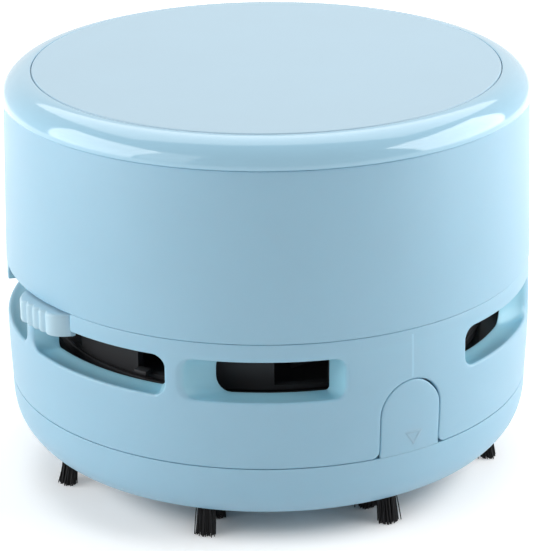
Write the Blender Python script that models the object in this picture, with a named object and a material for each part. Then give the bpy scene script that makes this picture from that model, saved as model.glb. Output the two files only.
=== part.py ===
"""A round desktop mini vacuum cleaner, built piece by piece.

It stands on eight rows of bristles under a drop-off base that holds the dust. The main body
above it carries the exhaust vents, the fan in its black housing, the motor and two AA cells.
A cover with a glossy ring and an inlay disc closes the top. Metres, +Z up, with the origin on
the floor under the middle. Azimuths are in degrees from the front (-Y) towards +X.
"""

import math

import bmesh
import bpy
import numpy as np
from mathutils import Vector

# Sizes used all over

CLEARANCE = 0.0003
OVERRUN = 0.0015
SINK = 0.0002
TURN_STEPS = 60
MEDIUM_STEPS = 40
SMALL_STEPS = 24
MERGE_DISTANCE = 1e-7
SMOOTH_LIMIT = 35.0
TAB_AZIMUTH = 30.2
UP = Vector((0.0, 0.0, 1.0))

# Heights: what stands on what, from the floor up

BRISTLE_REACH = 0.0050
BASE_SIDE = 0.0081
LIP_RISE = 0.0039
FILTER_FRAME_HEIGHT = 0.0026
FILTER_GAP = 0.0007
PLATE_THICKNESS = 0.0012
FAN_FLOOR_GAP = 0.0008
FAN_HEIGHT = 0.0070
FAN_ROOF_GAP = 0.0010
DECK_THICKNESS = 0.0014
CAN_LENGTH = 0.0200
CAP_LENGTH = 0.0026
TERMINAL_HEIGHT = 0.0024
TOP_ROOM = 0.0020
DISC_THICKNESS = 0.0012
RING_RISE = 0.0039
PARTING_HEIGHT = BRISTLE_REACH + BASE_SIDE
LIP_TOP_HEIGHT = PARTING_HEIGHT + LIP_RISE
FILTER_LOW_HEIGHT = LIP_TOP_HEIGHT + CLEARANCE
EYE_PLATE_LOW_HEIGHT = FILTER_LOW_HEIGHT + FILTER_FRAME_HEIGHT + FILTER_GAP
EYE_PLATE_TOP_HEIGHT = EYE_PLATE_LOW_HEIGHT + PLATE_THICKNESS
FAN_LOW_HEIGHT = EYE_PLATE_TOP_HEIGHT + FAN_FLOOR_GAP
FAN_TOP_HEIGHT = FAN_LOW_HEIGHT + FAN_HEIGHT
ROOF_LOW_HEIGHT = FAN_TOP_HEIGHT + FAN_ROOF_GAP
ROOF_TOP_HEIGHT = ROOF_LOW_HEIGHT + PLATE_THICKNESS
SEAM_HEIGHT = ROOF_TOP_HEIGHT + CLEARANCE
DECK_LOW_HEIGHT = ROOF_TOP_HEIGHT + CLEARANCE
DECK_TOP_HEIGHT = DECK_LOW_HEIGHT + DECK_THICKNESS
CAN_LOW_HEIGHT = ROOF_TOP_HEIGHT + CLEARANCE
CAP_LOW_HEIGHT = CAN_LOW_HEIGHT + CAN_LENGTH + CLEARANCE
CAP_TOP_HEIGHT = CAP_LOW_HEIGHT + CAP_LENGTH
TERMINAL_TOP_HEIGHT = CAP_TOP_HEIGHT + CLEARANCE + TERMINAL_HEIGHT
OVERALL_HEIGHT = TERMINAL_TOP_HEIGHT + TOP_ROOM + DISC_THICKNESS
SHELL_TOP_HEIGHT = OVERALL_HEIGHT - RING_RISE

# Width: two AA cells lie beside the flat-sided motor, and the rim runs round their corners

MOTOR_HALF_FLAT = 0.0077
MOTOR_TO_CELL = 0.00165
CELL_RADIUS = 0.00725
CELL_LENGTH = 0.0492
NUB_LENGTH = 0.0013
SPRING_ROOM = 0.0053
RIM_MARGIN = 0.00317
MID_BULGE = 0.00027
CELL_OFFSET = MOTOR_HALF_FLAT + MOTOR_TO_CELL + CELL_RADIUS
BAY_HALF_LENGTH = (CELL_LENGTH + NUB_LENGTH + SPRING_ROOM) / 2
RIM_RADIUS = math.hypot(CELL_OFFSET + CELL_RADIUS, BAY_HALF_LENGTH) + RIM_MARGIN
WIDEST_RADIUS = RIM_RADIUS + MID_BULGE


def clear_scene():
    for obj in list(bpy.data.objects):
        bpy.data.objects.remove(obj, do_unlink=True)


def finish(name, colour, roughness, metallic=0.0):
    """A Principled material in the piece's own colour."""
    made = bpy.data.materials.new(name)
    made.use_nodes = True
    shader = made.node_tree.nodes["Principled BSDF"]
    shader.inputs["Base Color"].default_value = (*colour, 1.0)
    shader.inputs["Roughness"].default_value = roughness
    shader.inputs["Metallic"].default_value = metallic
    return made


def place(name, mesh, material, parent=None):
    """One object with this mesh, smooth across its round faces."""
    if material and not mesh.materials:
        mesh.materials.append(material)
    mesh.shade_smooth()
    mesh.set_sharp_from_angle(angle=math.radians(SMOOTH_LIMIT))
    obj = bpy.data.objects.new(name, mesh)
    bpy.context.scene.collection.objects.link(obj)
    obj.parent = parent
    return obj


def axis_empty(name, location=(0.0, 0.0, 0.0), parent=None):
    empty = bpy.data.objects.new(name, None)
    empty.location = location
    empty.parent = parent
    bpy.context.scene.collection.objects.link(empty)
    return empty


def mesh_of(bm, name):
    """The closed shapes of bm as a mesh, with their faces pointing out."""
    bmesh.ops.remove_doubles(bm, verts=bm.verts, dist=MERGE_DISTANCE)
    bmesh.ops.recalc_face_normals(bm, faces=bm.faces)
    mesh = bpy.data.meshes.new(name)
    bm.to_mesh(mesh)
    bm.free()
    return mesh


def polar(radius, azimuth, height):
    angle = math.radians(azimuth)
    return Vector((radius * math.sin(angle), -radius * math.cos(angle), height))


def turned(name, profile, steps=TURN_STEPS):
    """A mesh turned round Z from (radius, height) points. It is closed at the axis where the ends lie on it."""
    bm = bmesh.new()
    points = [bm.verts.new((0.0, -radius, height)) for radius, height in profile]
    edges = [bm.edges.new(pair) for pair in zip(points, points[1:])]
    if profile[0][0] > 0.0:
        edges.append(bm.edges.new((points[-1], points[0])))
    bmesh.ops.spin(
        bm,
        geom=points + edges,
        cent=(0.0, 0.0, 0.0),
        axis=UP,
        angle=math.tau,
        steps=steps,
        use_merge=True,
    )
    return mesh_of(bm, name)


def add_loft(bm, sections):
    """A closed shape through the sections, which have the same number of points in the same order."""
    rings = [[bm.verts.new(point) for point in section] for section in sections]
    for near, far in zip(rings, rings[1:]):
        for i in range(len(near)):
            j = (i + 1) % len(near)
            bm.faces.new((near[i], near[j], far[j], far[i]))
    bm.faces.new(list(reversed(rings[0])))
    bm.faces.new(rings[-1])


def add_arc_block(bm, radii, azimuths, heights, steps=1):
    """A block between two radii, two azimuths and two heights, bent round Z."""
    corners = [
        (radii[0], heights[0]),
        (radii[1], heights[0]),
        (radii[1], heights[1]),
        (radii[0], heights[1]),
    ]
    stations = np.linspace(azimuths[0], azimuths[1], steps + 1)
    add_loft(bm, [[polar(r, azimuth, z) for r, z in corners] for azimuth in stations])


def add_box(bm, low, high):
    corners = [(low[0], low[1]), (high[0], low[1]), (high[0], high[1]), (low[0], high[1])]
    add_loft(bm, [[Vector((x, y, z)) for x, y in corners] for z in (low[2], high[2])])


def add_prism(bm, outline, start, along):
    """The outline's points, which lie in one plane, moved by start and extruded by along."""
    add_loft(bm, [[start + point for point in outline], [start + along + point for point in outline]])


def add_cylinder(bm, centre, radius, heights, steps=SMALL_STEPS):
    turns = [math.tau * i / steps for i in range(steps)]
    outline = [Vector((radius * math.cos(a), radius * math.sin(a), heights[0])) for a in turns]
    add_prism(bm, outline, centre, UP * (heights[1] - heights[0]))


def combine(obj, bm, operation, name):
    """Adds the shapes of bm to obj, takes them from it, or keeps what lies in both."""
    helper = bpy.data.objects.new(name, mesh_of(bm, name))
    bpy.context.scene.collection.objects.link(helper)
    helper.parent = obj
    helper.hide_render = True
    helper.display_type = "WIRE"
    modifier = obj.modifiers.new(name, "BOOLEAN")
    modifier.operation = operation
    modifier.solver = "EXACT"
    modifier.object = helper


# Main body: the band of eight vents, the notch of the switch and the arch of the release tab

MID_LOW_HEIGHT = PARTING_HEIGHT + CLEARANCE / 2
MID_HIGH_HEIGHT = SEAM_HEIGHT - CLEARANCE / 2
MID_CURVE_STEPS = 4
SKIRT_WALL = 0.00188
SKIRT_INNER_RADIUS = RIM_RADIUS - SKIRT_WALL
BAND_WALL = 0.00348
BAND_INNER_RADIUS = RIM_RADIUS - BAND_WALL
BAND_RISE = 0.0009
BAND_LOW_HEIGHT = EYE_PLATE_LOW_HEIGHT + BAND_RISE
BAND_SLOPE_HEIGHT = 0.0012
NECK_INSET = 0.00198
NECK_RADIUS = RIM_RADIUS - NECK_INSET
NECK_RISE = 0.0039
NECK_TOP_HEIGHT = SEAM_HEIGHT + NECK_RISE
VENT_SILL = 0.0008
VENT_LOW_HEIGHT = FAN_LOW_HEIGHT + VENT_SILL
VENT_HEAD = 0.0024
VENT_HIGH_HEIGHT = SEAM_HEIGHT - VENT_HEAD
VENT_CORNER = 0.0012
VENT_FLARE = 0.0006
VENT_FLARE_DEPTH = 0.00048
VENT_FLARE_RADIUS = RIM_RADIUS - VENT_FLARE_DEPTH
VENT_STEPS = 5
CORNER_STEPS = 2
SHORT_RAMP = 2.6
LONG_RAMP = 6.8
# Where each vent starts and ends, and how far its end walls lean. They mirror about the tab.
VENTS = (
    (-18.4, 15.9, LONG_RAMP, SHORT_RAMP),
    (44.5, 78.8, SHORT_RAMP, LONG_RAMP),
    (81.5, 120.5, SHORT_RAMP, SHORT_RAMP),
    (123.0, 164.6, SHORT_RAMP, SHORT_RAMP),
    (167.1, 208.95, SHORT_RAMP, SHORT_RAMP),
    (211.45, 253.3, SHORT_RAMP, SHORT_RAMP),
    (255.8, 297.4, SHORT_RAMP, SHORT_RAMP),
    (-60.1, -21.1, SHORT_RAMP, SHORT_RAMP),
)
NOTCH_AZIMUTHS = (-78.3, -45.1)
NOTCH_DEPTH = 0.0042
NOTCH_LOW_HEIGHT = SEAM_HEIGHT - NOTCH_DEPTH
NOTCH_STEPS = 6
TAB_HALF_WIDTH = 0.0050
TAB_RISE = 0.01135
TAB_TOP_HEIGHT = PARTING_HEIGHT + TAB_RISE
TAB_ARCH_STEPS = 14
ARCH_FOOT_RADIUS = 0.0009
SCREW_AZIMUTHS = (20.0, 166.0, 254.4)
HOUSING_INSET = 0.0034
HOUSING_RADIUS = BAND_INNER_RADIUS - HOUSING_INSET
LUG_INNER_RADIUS = HOUSING_RADIUS + CLEARANCE
SCREW_INSET = 0.00165
SCREW_CIRCLE_RADIUS = BAND_INNER_RADIUS - SCREW_INSET
SCREW_RADIUS = 0.0007
SCREW_HOLE_RADIUS = SCREW_RADIUS + CLEARANCE
LUG_HALF_ANGLE = 4.3
LUG_THICKNESS = 0.0030
LUG_TOP_HEIGHT = ROOF_LOW_HEIGHT - CLEARANCE
LUG_LOW_HEIGHT = LUG_TOP_HEIGHT - LUG_THICKNESS


def mid_outer_radius(height):
    """The main body's gentle bulge between its two joint lines."""
    share = (height - PARTING_HEIGHT) / (SEAM_HEIGHT - PARTING_HEIGHT)
    return RIM_RADIUS + MID_BULGE * math.sin(math.pi * share)


def mid_outer_curve(low, high):
    heights = np.linspace(low, high, MID_CURVE_STEPS + 1)
    return [(mid_outer_radius(height), height) for height in heights]


def add_vent(bm, start, end, start_ramp, end_ramp):
    """A cutter for one vent, with round corners, leaning end walls and a soft lower lip."""
    flare = math.degrees(VENT_FLARE / WIDEST_RADIUS)
    corner = math.degrees(VENT_CORNER / WIDEST_RADIUS)
    turns = [math.pi / 2 * i / CORNER_STEPS for i in range(CORNER_STEPS + 1)]
    rounds = [(corner * (1 - math.cos(a)), VENT_CORNER * (1 - math.sin(a))) for a in turns]
    stations = [(start + along, inset) for along, inset in rounds]
    straight = np.linspace(start + corner, end - corner, VENT_STEPS + 1)[1:-1]
    stations += [(azimuth, 0.0) for azimuth in straight]
    stations += [(end - along, inset) for along, inset in reversed(rounds)]
    inner = BAND_INNER_RADIUS - OVERRUN
    outer = WIDEST_RADIUS + OVERRUN
    sections = []
    for azimuth, inset in stations:
        share = (azimuth - start) / (end - start)
        inside = start + start_ramp + share * (end - end_ramp - start - start_ramp)
        outside = start - flare + share * (end - start + 2 * flare)
        low = VENT_LOW_HEIGHT + inset
        high = VENT_HIGH_HEIGHT - inset
        sections.append(
            [
                polar(inner, inside, low),
                polar(VENT_FLARE_RADIUS, azimuth, low),
                polar(outer, outside, low - VENT_FLARE),
                polar(outer, outside, high),
                polar(VENT_FLARE_RADIUS, azimuth, high),
                polar(inner, inside, high),
            ]
        )
    add_loft(bm, sections)


def arch_outline(grow, foot, low):
    """The tab's arch as (tangent, height) points, grown all round, with a round foot at each side."""
    half = TAB_HALF_WIDTH + grow
    spring = TAB_TOP_HEIGHT - TAB_HALF_WIDTH
    outline = [(half + foot, low)]
    if foot > 0.0:
        turns = [math.pi / 2 * i / CORNER_STEPS for i in range(CORNER_STEPS + 1)]
        top = MID_LOW_HEIGHT + foot
        outline += [(half + foot * (1 - math.sin(a)), top - foot * math.cos(a)) for a in turns]
    turns = [math.pi * i / TAB_ARCH_STEPS for i in range(TAB_ARCH_STEPS + 1)]
    outline += [(half * math.cos(a), spring + half * math.sin(a)) for a in turns]
    if foot > 0.0:
        turns = [math.pi / 2 * i / CORNER_STEPS for i in range(CORNER_STEPS, -1, -1)]
        outline += [(-half - foot * (1 - math.sin(a)), top - foot * math.cos(a)) for a in turns]
    outline.append((-half - foot, low))
    return outline


def add_arch(bm, grow, foot, low, inner, outer):
    """The arch extruded straight out at the tab's azimuth."""
    out = polar(1.0, TAB_AZIMUTH, 0.0)
    tangent = polar(1.0, TAB_AZIMUTH + 90.0, 0.0)
    outline = [tangent * x + UP * z for x, z in arch_outline(grow, foot, low)]
    add_prism(bm, outline, out * inner, out * (outer - inner))


def add_screw_holes(bm, low, high):
    for azimuth in SCREW_AZIMUTHS:
        add_cylinder(bm, polar(SCREW_CIRCLE_RADIUS, azimuth, 0.0), SCREW_HOLE_RADIUS, (low, high))


def make_mid_body(material, parent):
    profile = mid_outer_curve(MID_LOW_HEIGHT, MID_HIGH_HEIGHT) + [
        (NECK_RADIUS, MID_HIGH_HEIGHT),
        (NECK_RADIUS, NECK_TOP_HEIGHT),
        (BAND_INNER_RADIUS, NECK_TOP_HEIGHT),
        (BAND_INNER_RADIUS, BAND_LOW_HEIGHT + BAND_SLOPE_HEIGHT),
        (SKIRT_INNER_RADIUS, BAND_LOW_HEIGHT),
        (SKIRT_INNER_RADIUS, MID_LOW_HEIGHT),
    ]
    body = place("mid_body", turned("mid_body", profile), material, parent)
    lugs = bmesh.new()
    for azimuth in SCREW_AZIMUTHS:
        ends = (azimuth - LUG_HALF_ANGLE, azimuth + LUG_HALF_ANGLE)
        radii = (LUG_INNER_RADIUS, BAND_INNER_RADIUS + OVERRUN / 2)
        add_arc_block(lugs, radii, ends, (LUG_LOW_HEIGHT, LUG_TOP_HEIGHT))
    combine(body, lugs, "UNION", "mid_body_lugs")
    cuts = bmesh.new()
    for vent in VENTS:
        add_vent(cuts, *vent)
    combine(body, cuts, "DIFFERENCE", "mid_body_vents")
    cuts = bmesh.new()
    radii = (BAND_INNER_RADIUS - OVERRUN, WIDEST_RADIUS + OVERRUN)
    add_arc_block(cuts, radii, NOTCH_AZIMUTHS, (NOTCH_LOW_HEIGHT, SEAM_HEIGHT), NOTCH_STEPS)
    low = MID_LOW_HEIGHT - OVERRUN
    add_arch(cuts, CLEARANCE, ARCH_FOOT_RADIUS, low, LUG_INNER_RADIUS, WIDEST_RADIUS + OVERRUN)
    add_screw_holes(cuts, LUG_LOW_HEIGHT - OVERRUN, LUG_TOP_HEIGHT + OVERRUN)
    combine(body, cuts, "DIFFERENCE", "mid_body_cuts")
    return body


# Cover: the upper shell, the glossy ring on its shoulder and the inlay disc

SHELL_PROUD = 0.00012
SHELL_RADIUS = RIM_RADIUS + SHELL_PROUD
SHELL_TAPER = 0.0008
SHELL_TOP_RADIUS = SHELL_RADIUS - SHELL_TAPER
SHELL_WALL = 0.0018
RING_PROUD = 0.0003
RING_RADIUS = SHELL_TOP_RADIUS + RING_PROUD
RING_WIDTH = 0.0046
RING_ARC_STEPS = 6
RING_TOP_DROP = 0.0001
RING_SKIRT_DEPTH = 0.0030
RING_SKIRT_WALL = 0.0015
RING_LEDGE_WIDTH = 0.0037
RING_LEDGE_THICKNESS = 0.0010
DISC_RADIUS = RING_RADIUS - RING_WIDTH
DISC_BEVEL = 0.00025


def make_upper_shell(material, parent):
    low = SEAM_HEIGHT + CLEARANCE / 2
    high = SHELL_TOP_HEIGHT - CLEARANCE / 2
    profile = [
        (SHELL_RADIUS, low),
        (SHELL_TOP_RADIUS, high),
        (SHELL_TOP_RADIUS - SHELL_WALL, high),
        (SHELL_RADIUS - SHELL_WALL, low),
    ]
    return place("upper_shell", turned("upper_shell", profile), material, parent)


def make_gloss_ring(material, parent):
    low = SHELL_TOP_HEIGHT + CLEARANCE / 2
    top = OVERALL_HEIGHT - RING_TOP_DROP
    inner = DISC_RADIUS + CLEARANCE
    ledge = OVERALL_HEIGHT - DISC_THICKNESS - CLEARANCE
    ledge_inner = inner - RING_LEDGE_WIDTH
    skirt = SHELL_TOP_RADIUS - SHELL_WALL - CLEARANCE
    turns = [math.pi / 2 * i / RING_ARC_STEPS for i in range(RING_ARC_STEPS + 1)]
    shoulder = [
        (inner + (RING_RADIUS - inner) * math.cos(a), low + (top - low) * math.sin(a))
        for a in turns
    ]
    profile = shoulder + [
        (inner, ledge),
        (ledge_inner, ledge),
        (ledge_inner, ledge - RING_LEDGE_THICKNESS),
        (skirt - RING_SKIRT_WALL, ledge - RING_LEDGE_THICKNESS),
        (skirt - RING_SKIRT_WALL, low - RING_SKIRT_DEPTH),
        (skirt, low - RING_SKIRT_DEPTH),
        (skirt, low),
    ]
    return place("gloss_ring", turned("gloss_ring", profile), material, parent)


def make_top_disc(material, parent):
    profile = [
        (0.0, OVERALL_HEIGHT),
        (DISC_RADIUS - DISC_BEVEL, OVERALL_HEIGHT),
        (DISC_RADIUS, OVERALL_HEIGHT - DISC_BEVEL),
        (DISC_RADIUS, OVERALL_HEIGHT - DISC_THICKNESS),
        (0.0, OVERALL_HEIGHT - DISC_THICKNESS),
    ]
    return place("top_disc", turned("top_disc", profile), material, parent)


# Fan housing: a black cup with exhaust windows, its eye plate, and the impeller on its shaft

HOUSING_WALL = 0.0012
FLANGE_GAP = 0.0004
FLANGE_RADIUS = BAND_INNER_RADIUS - FLANGE_GAP
EYE_RADIUS = 0.0130
WINDOW_COUNT = 10
WINDOW_FIRST_AZIMUTH = -34.7
WINDOW_ANGLE = 14.0
WINDOW_SILL = 0.0008
WINDOW_HEAD = 0.0006
WINDOW_HIGH_HEIGHT = ROOF_LOW_HEIGHT - WINDOW_HEAD
SHAFT_RADIUS = 0.0010
SHAFT_TAIL = 0.0004
SHAFT_LOW_HEIGHT = FAN_LOW_HEIGHT - SHAFT_TAIL
SHAFT_END = 0.0006
SHAFT_TOP_HEIGHT = CAP_TOP_HEIGHT + SHAFT_END
BOSS_RADIUS = 0.0031
STEM_PATH_DEPTH = 0.0024
POST_PATH_DEPTH = 0.0020
PATH_MARGIN = 1.0
FAN_TIP_GAP = 0.0048
FAN_RADIUS = HOUSING_RADIUS - HOUSING_WALL - FAN_TIP_GAP
FAN_DISC_THICKNESS = 0.0010
FAN_HUB_RADIUS = 0.0040
BLADE_COUNT = 8
BLADE_INNER_RADIUS = 0.0090
BLADE_THICKNESS = 0.0010
BLADE_SWEEP = 38.0
BLADE_STEPS = 4


def add_switch_path(bm, depth, heights):
    """What the switch's stem and post sweep, taken out of a plate's rim."""
    ends = (
        STEM_AZIMUTHS[0] - SWITCH_TRAVEL - PATH_MARGIN,
        STEM_AZIMUTHS[1] + PATH_MARGIN,
    )
    radii = (FLANGE_RADIUS - depth, FLANGE_RADIUS + OVERRUN)
    add_arc_block(bm, radii, ends, heights, NOTCH_STEPS)


def make_fan_housing(material, parent):
    wall_low = EYE_PLATE_TOP_HEIGHT + CLEARANCE
    inner = HOUSING_RADIUS - HOUSING_WALL
    hole = BOSS_RADIUS + CLEARANCE
    profile = [
        (hole, ROOF_LOW_HEIGHT),
        (inner, ROOF_LOW_HEIGHT),
        (inner, wall_low),
        (HOUSING_RADIUS, wall_low),
        (HOUSING_RADIUS, ROOF_LOW_HEIGHT),
        (FLANGE_RADIUS, ROOF_LOW_HEIGHT),
        (FLANGE_RADIUS, ROOF_TOP_HEIGHT),
        (hole, ROOF_TOP_HEIGHT),
    ]
    housing = place("fan_housing", turned("fan_housing", profile, MEDIUM_STEPS), material, parent)
    cuts = bmesh.new()
    for i in range(WINDOW_COUNT):
        start = WINDOW_FIRST_AZIMUTH + 360.0 / WINDOW_COUNT * i
        radii = (inner - OVERRUN, HOUSING_RADIUS + OVERRUN)
        heights = (wall_low + WINDOW_SILL, WINDOW_HIGH_HEIGHT)
        add_arc_block(cuts, radii, (start, start + WINDOW_ANGLE), heights)
    add_switch_path(cuts, STEM_PATH_DEPTH, (ROOF_LOW_HEIGHT - SINK, ROOF_TOP_HEIGHT + OVERRUN))
    add_screw_holes(cuts, ROOF_LOW_HEIGHT - OVERRUN, ROOF_TOP_HEIGHT + OVERRUN)
    combine(housing, cuts, "DIFFERENCE", "fan_housing_cuts")
    return housing


def make_eye_plate(material, parent):
    profile = [
        (EYE_RADIUS, EYE_PLATE_LOW_HEIGHT),
        (HOUSING_RADIUS, EYE_PLATE_LOW_HEIGHT),
        (HOUSING_RADIUS, EYE_PLATE_TOP_HEIGHT),
        (EYE_RADIUS, EYE_PLATE_TOP_HEIGHT),
    ]
    return place("eye_plate", turned("eye_plate", profile, MEDIUM_STEPS), material, parent)


def blade_outline(azimuth):
    """One swept-back blade seen from above."""
    edges = {-1: [], 1: []}
    for i in range(BLADE_STEPS + 1):
        share = i / BLADE_STEPS
        radius = BLADE_INNER_RADIUS + share * (FAN_RADIUS - SINK - BLADE_INNER_RADIUS)
        half = math.degrees(BLADE_THICKNESS / 2 / radius)
        bend = azimuth - BLADE_SWEEP * share * share
        for side in edges:
            edges[side].append(polar(radius, bend + side * half, 0.0))
    return edges[-1] + edges[1][::-1]


def make_impeller(material, parent):
    bore = SHAFT_RADIUS + CLEARANCE
    disc_low = FAN_TOP_HEIGHT - FAN_DISC_THICKNESS
    profile = [
        (bore, FAN_LOW_HEIGHT),
        (FAN_HUB_RADIUS, FAN_LOW_HEIGHT),
        (FAN_HUB_RADIUS, disc_low),
        (FAN_RADIUS, disc_low),
        (FAN_RADIUS, FAN_TOP_HEIGHT),
        (bore, FAN_TOP_HEIGHT),
    ]
    impeller = place("impeller", turned("impeller", profile, SMALL_STEPS), material, parent)
    blades = bmesh.new()
    rise = UP * (disc_low + SINK - FAN_LOW_HEIGHT)
    for i in range(BLADE_COUNT):
        add_prism(blades, blade_outline(360.0 / BLADE_COUNT * i), UP * FAN_LOW_HEIGHT, rise)
    combine(impeller, blades, "UNION", "impeller_blades")
    return impeller


def make_shaft(material, parent):
    profile = [
        (0.0, SHAFT_TOP_HEIGHT),
        (SHAFT_RADIUS, SHAFT_TOP_HEIGHT),
        (SHAFT_RADIUS, SHAFT_LOW_HEIGHT),
        (0.0, SHAFT_LOW_HEIGHT),
    ]
    return place("motor_shaft", turned("motor_shaft", profile, SMALL_STEPS // 2), material, parent)


# Motor: a flat-sided can standing on the fan housing, its end cap and two terminals

MOTOR_ROUND = 0.0023
MOTOR_RADIUS = MOTOR_HALF_FLAT + MOTOR_ROUND
CAN_BOSS_HEIGHT = 0.0012
CAP_INSET = 0.0003
CAP_BOSS_RADIUS = 0.0026
CAP_BOSS_HEIGHT = 0.0014
TERMINAL_INSET = 0.0040
TERMINAL_OFFSET = MOTOR_RADIUS - TERMINAL_INSET
TERMINAL_WIDTH = 0.0024
TERMINAL_THICKNESS = 0.0005


def keep_between_flats(obj, half_width, low, high):
    flats = bmesh.new()
    reach = MOTOR_RADIUS + OVERRUN
    add_box(flats, (-half_width, -reach, low - OVERRUN), (half_width, reach, high + OVERRUN))
    combine(obj, flats, "INTERSECT", obj.name + "_flats")


def make_motor_can(material, parent):
    bore = SHAFT_RADIUS + CLEARANCE
    top = CAN_LOW_HEIGHT + CAN_LENGTH
    profile = [
        (bore, CAN_LOW_HEIGHT - CAN_BOSS_HEIGHT),
        (BOSS_RADIUS, CAN_LOW_HEIGHT - CAN_BOSS_HEIGHT),
        (BOSS_RADIUS, CAN_LOW_HEIGHT),
        (MOTOR_RADIUS, CAN_LOW_HEIGHT),
        (MOTOR_RADIUS, top),
        (bore, top),
    ]
    can = place("motor_can", turned("motor_can", profile, SMALL_STEPS), material, parent)
    keep_between_flats(can, MOTOR_HALF_FLAT, CAN_LOW_HEIGHT - CAN_BOSS_HEIGHT, top)
    return can


def make_motor_cap(material, parent):
    bore = SHAFT_RADIUS + CLEARANCE
    radius = MOTOR_RADIUS - CAP_INSET
    boss_top = CAP_TOP_HEIGHT + CAP_BOSS_HEIGHT
    profile = [
        (bore, CAP_LOW_HEIGHT),
        (radius, CAP_LOW_HEIGHT),
        (radius, CAP_TOP_HEIGHT),
        (CAP_BOSS_RADIUS, CAP_TOP_HEIGHT),
        (CAP_BOSS_RADIUS, boss_top),
        (bore, boss_top),
    ]
    cap = place("motor_cap", turned("motor_cap", profile, SMALL_STEPS), material, parent)
    keep_between_flats(cap, MOTOR_HALF_FLAT - CAP_INSET, CAP_LOW_HEIGHT, boss_top)
    return cap


def make_terminals(material, parent):
    bm = bmesh.new()
    half = (TERMINAL_WIDTH / 2, TERMINAL_THICKNESS / 2)
    add_box(bm, (-half[0], -half[1], 0.0), (half[0], half[1], TERMINAL_HEIGHT))
    mesh = mesh_of(bm, "motor_terminal")
    for name, side in (("motor_terminal_front", -1), ("motor_terminal_rear", 1)):
        terminal = place(name, mesh, material, parent)
        terminal.location = (0.0, side * TERMINAL_OFFSET, CAP_TOP_HEIGHT + CLEARANCE)


# Battery deck: a plate over the fan housing with saddles and end walls for two AA cells

MOTOR_WELL_MARGIN = 0.0004
CELL_BEVEL = 0.0006
NUB_RADIUS = 0.00275
CELL_SEAT = 0.0012
CELL_HEIGHT = DECK_TOP_HEIGHT + CELL_SEAT + CELL_RADIUS
SADDLE_INSET = 0.00025
SADDLE_HALF_WIDTH = CELL_RADIUS - SADDLE_INSET
SADDLE_RISE = 0.0045
SADDLE_THICKNESS = 0.0018
SADDLE_OFFSET_SHARE = 0.45
SADDLE_OFFSET = BAY_HALF_LENGTH * SADDLE_OFFSET_SHARE
SADDLE_ARC_STEPS = 6
CONTACT_THICKNESS = 0.0004
CONTACT_HALF_WIDTH = 0.0045
CONTACT_LOW_HEIGHT = DECK_TOP_HEIGHT + 2 * CLEARANCE
CONTACT_RISE = 0.00405
CONTACT_TOP_HEIGHT = CELL_HEIGHT + CONTACT_RISE
WALL_THICKNESS = 0.0012
WALL_RISE = 0.0010
WALL_TOP_HEIGHT = CONTACT_TOP_HEIGHT + WALL_RISE
WALL_OUTER_REACH = 0.0028
WALL_OUTER_X = CELL_OFFSET + WALL_OUTER_REACH
WALL_INNER_REACH = 0.0046
WALL_INNER_X = CELL_OFFSET - WALL_INNER_REACH
WALL_FACE = BAY_HALF_LENGTH + CONTACT_THICKNESS + CLEARANCE
SPRING_WIRE_RADIUS = 0.0003
SPRING_WIDE_RADIUS = 0.0046
SPRING_NARROW_RADIUS = 0.0024
SPRING_TURNS = 3
SPRING_POINTS_PER_TURN = 9
WIRE_RESOLUTION = 1


def saddle_outline(centre_x):
    """A saddle's face across the cell: a block with the cell's round seat in its top."""
    seat = CELL_RADIUS + CLEARANCE
    low = DECK_TOP_HEIGHT - SINK
    high = DECK_TOP_HEIGHT + SADDLE_RISE
    reach = math.acos((CELL_HEIGHT - high) / seat)
    turns = [reach * (1 - 2 * i / SADDLE_ARC_STEPS) for i in range(SADDLE_ARC_STEPS + 1)]
    outline = [(-SADDLE_HALF_WIDTH, low), (SADDLE_HALF_WIDTH, low), (SADDLE_HALF_WIDTH, high)]
    outline += [(seat * math.sin(a), CELL_HEIGHT - seat * math.cos(a)) for a in turns]
    outline.append((-SADDLE_HALF_WIDTH, high))
    return [Vector((centre_x + x, 0.0, z)) for x, z in outline]


def make_battery_deck(material, parent):
    profile = [
        (0.0, DECK_TOP_HEIGHT),
        (FLANGE_RADIUS, DECK_TOP_HEIGHT),
        (FLANGE_RADIUS, DECK_LOW_HEIGHT),
        (0.0, DECK_LOW_HEIGHT),
    ]
    deck = place("battery_deck", turned("battery_deck", profile), material, parent)
    rises = bmesh.new()
    along = Vector((0.0, SADDLE_THICKNESS, 0.0))
    for side in (-1, 1):
        for end in (-1, 1):
            start = Vector((0.0, end * SADDLE_OFFSET - SADDLE_THICKNESS / 2, 0.0))
            add_prism(rises, saddle_outline(side * CELL_OFFSET), start, along)
    low = DECK_TOP_HEIGHT - SINK
    wall_back = WALL_FACE + WALL_THICKNESS
    add_box(
        rises, (-WALL_OUTER_X, -wall_back, low), (WALL_OUTER_X, -WALL_FACE, WALL_TOP_HEIGHT)
    )
    add_box(
        rises, (WALL_INNER_X, WALL_FACE, low), (WALL_OUTER_X, wall_back, WALL_TOP_HEIGHT)
    )
    add_box(
        rises, (-WALL_OUTER_X, WALL_FACE, low), (-WALL_INNER_X, wall_back, WALL_TOP_HEIGHT)
    )
    combine(deck, rises, "UNION", "battery_deck_rises")
    cuts = bmesh.new()
    heights = (DECK_LOW_HEIGHT - OVERRUN, DECK_TOP_HEIGHT + OVERRUN)
    well = (MOTOR_HALF_FLAT + MOTOR_WELL_MARGIN, MOTOR_RADIUS + MOTOR_WELL_MARGIN)
    add_box(cuts, (-well[0], -well[1], heights[0]), (well[0], well[1], heights[1]))
    add_switch_path(cuts, POST_PATH_DEPTH, heights)
    add_screw_holes(cuts, *heights)
    combine(deck, cuts, "DIFFERENCE", "battery_deck_cuts")
    return deck


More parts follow.
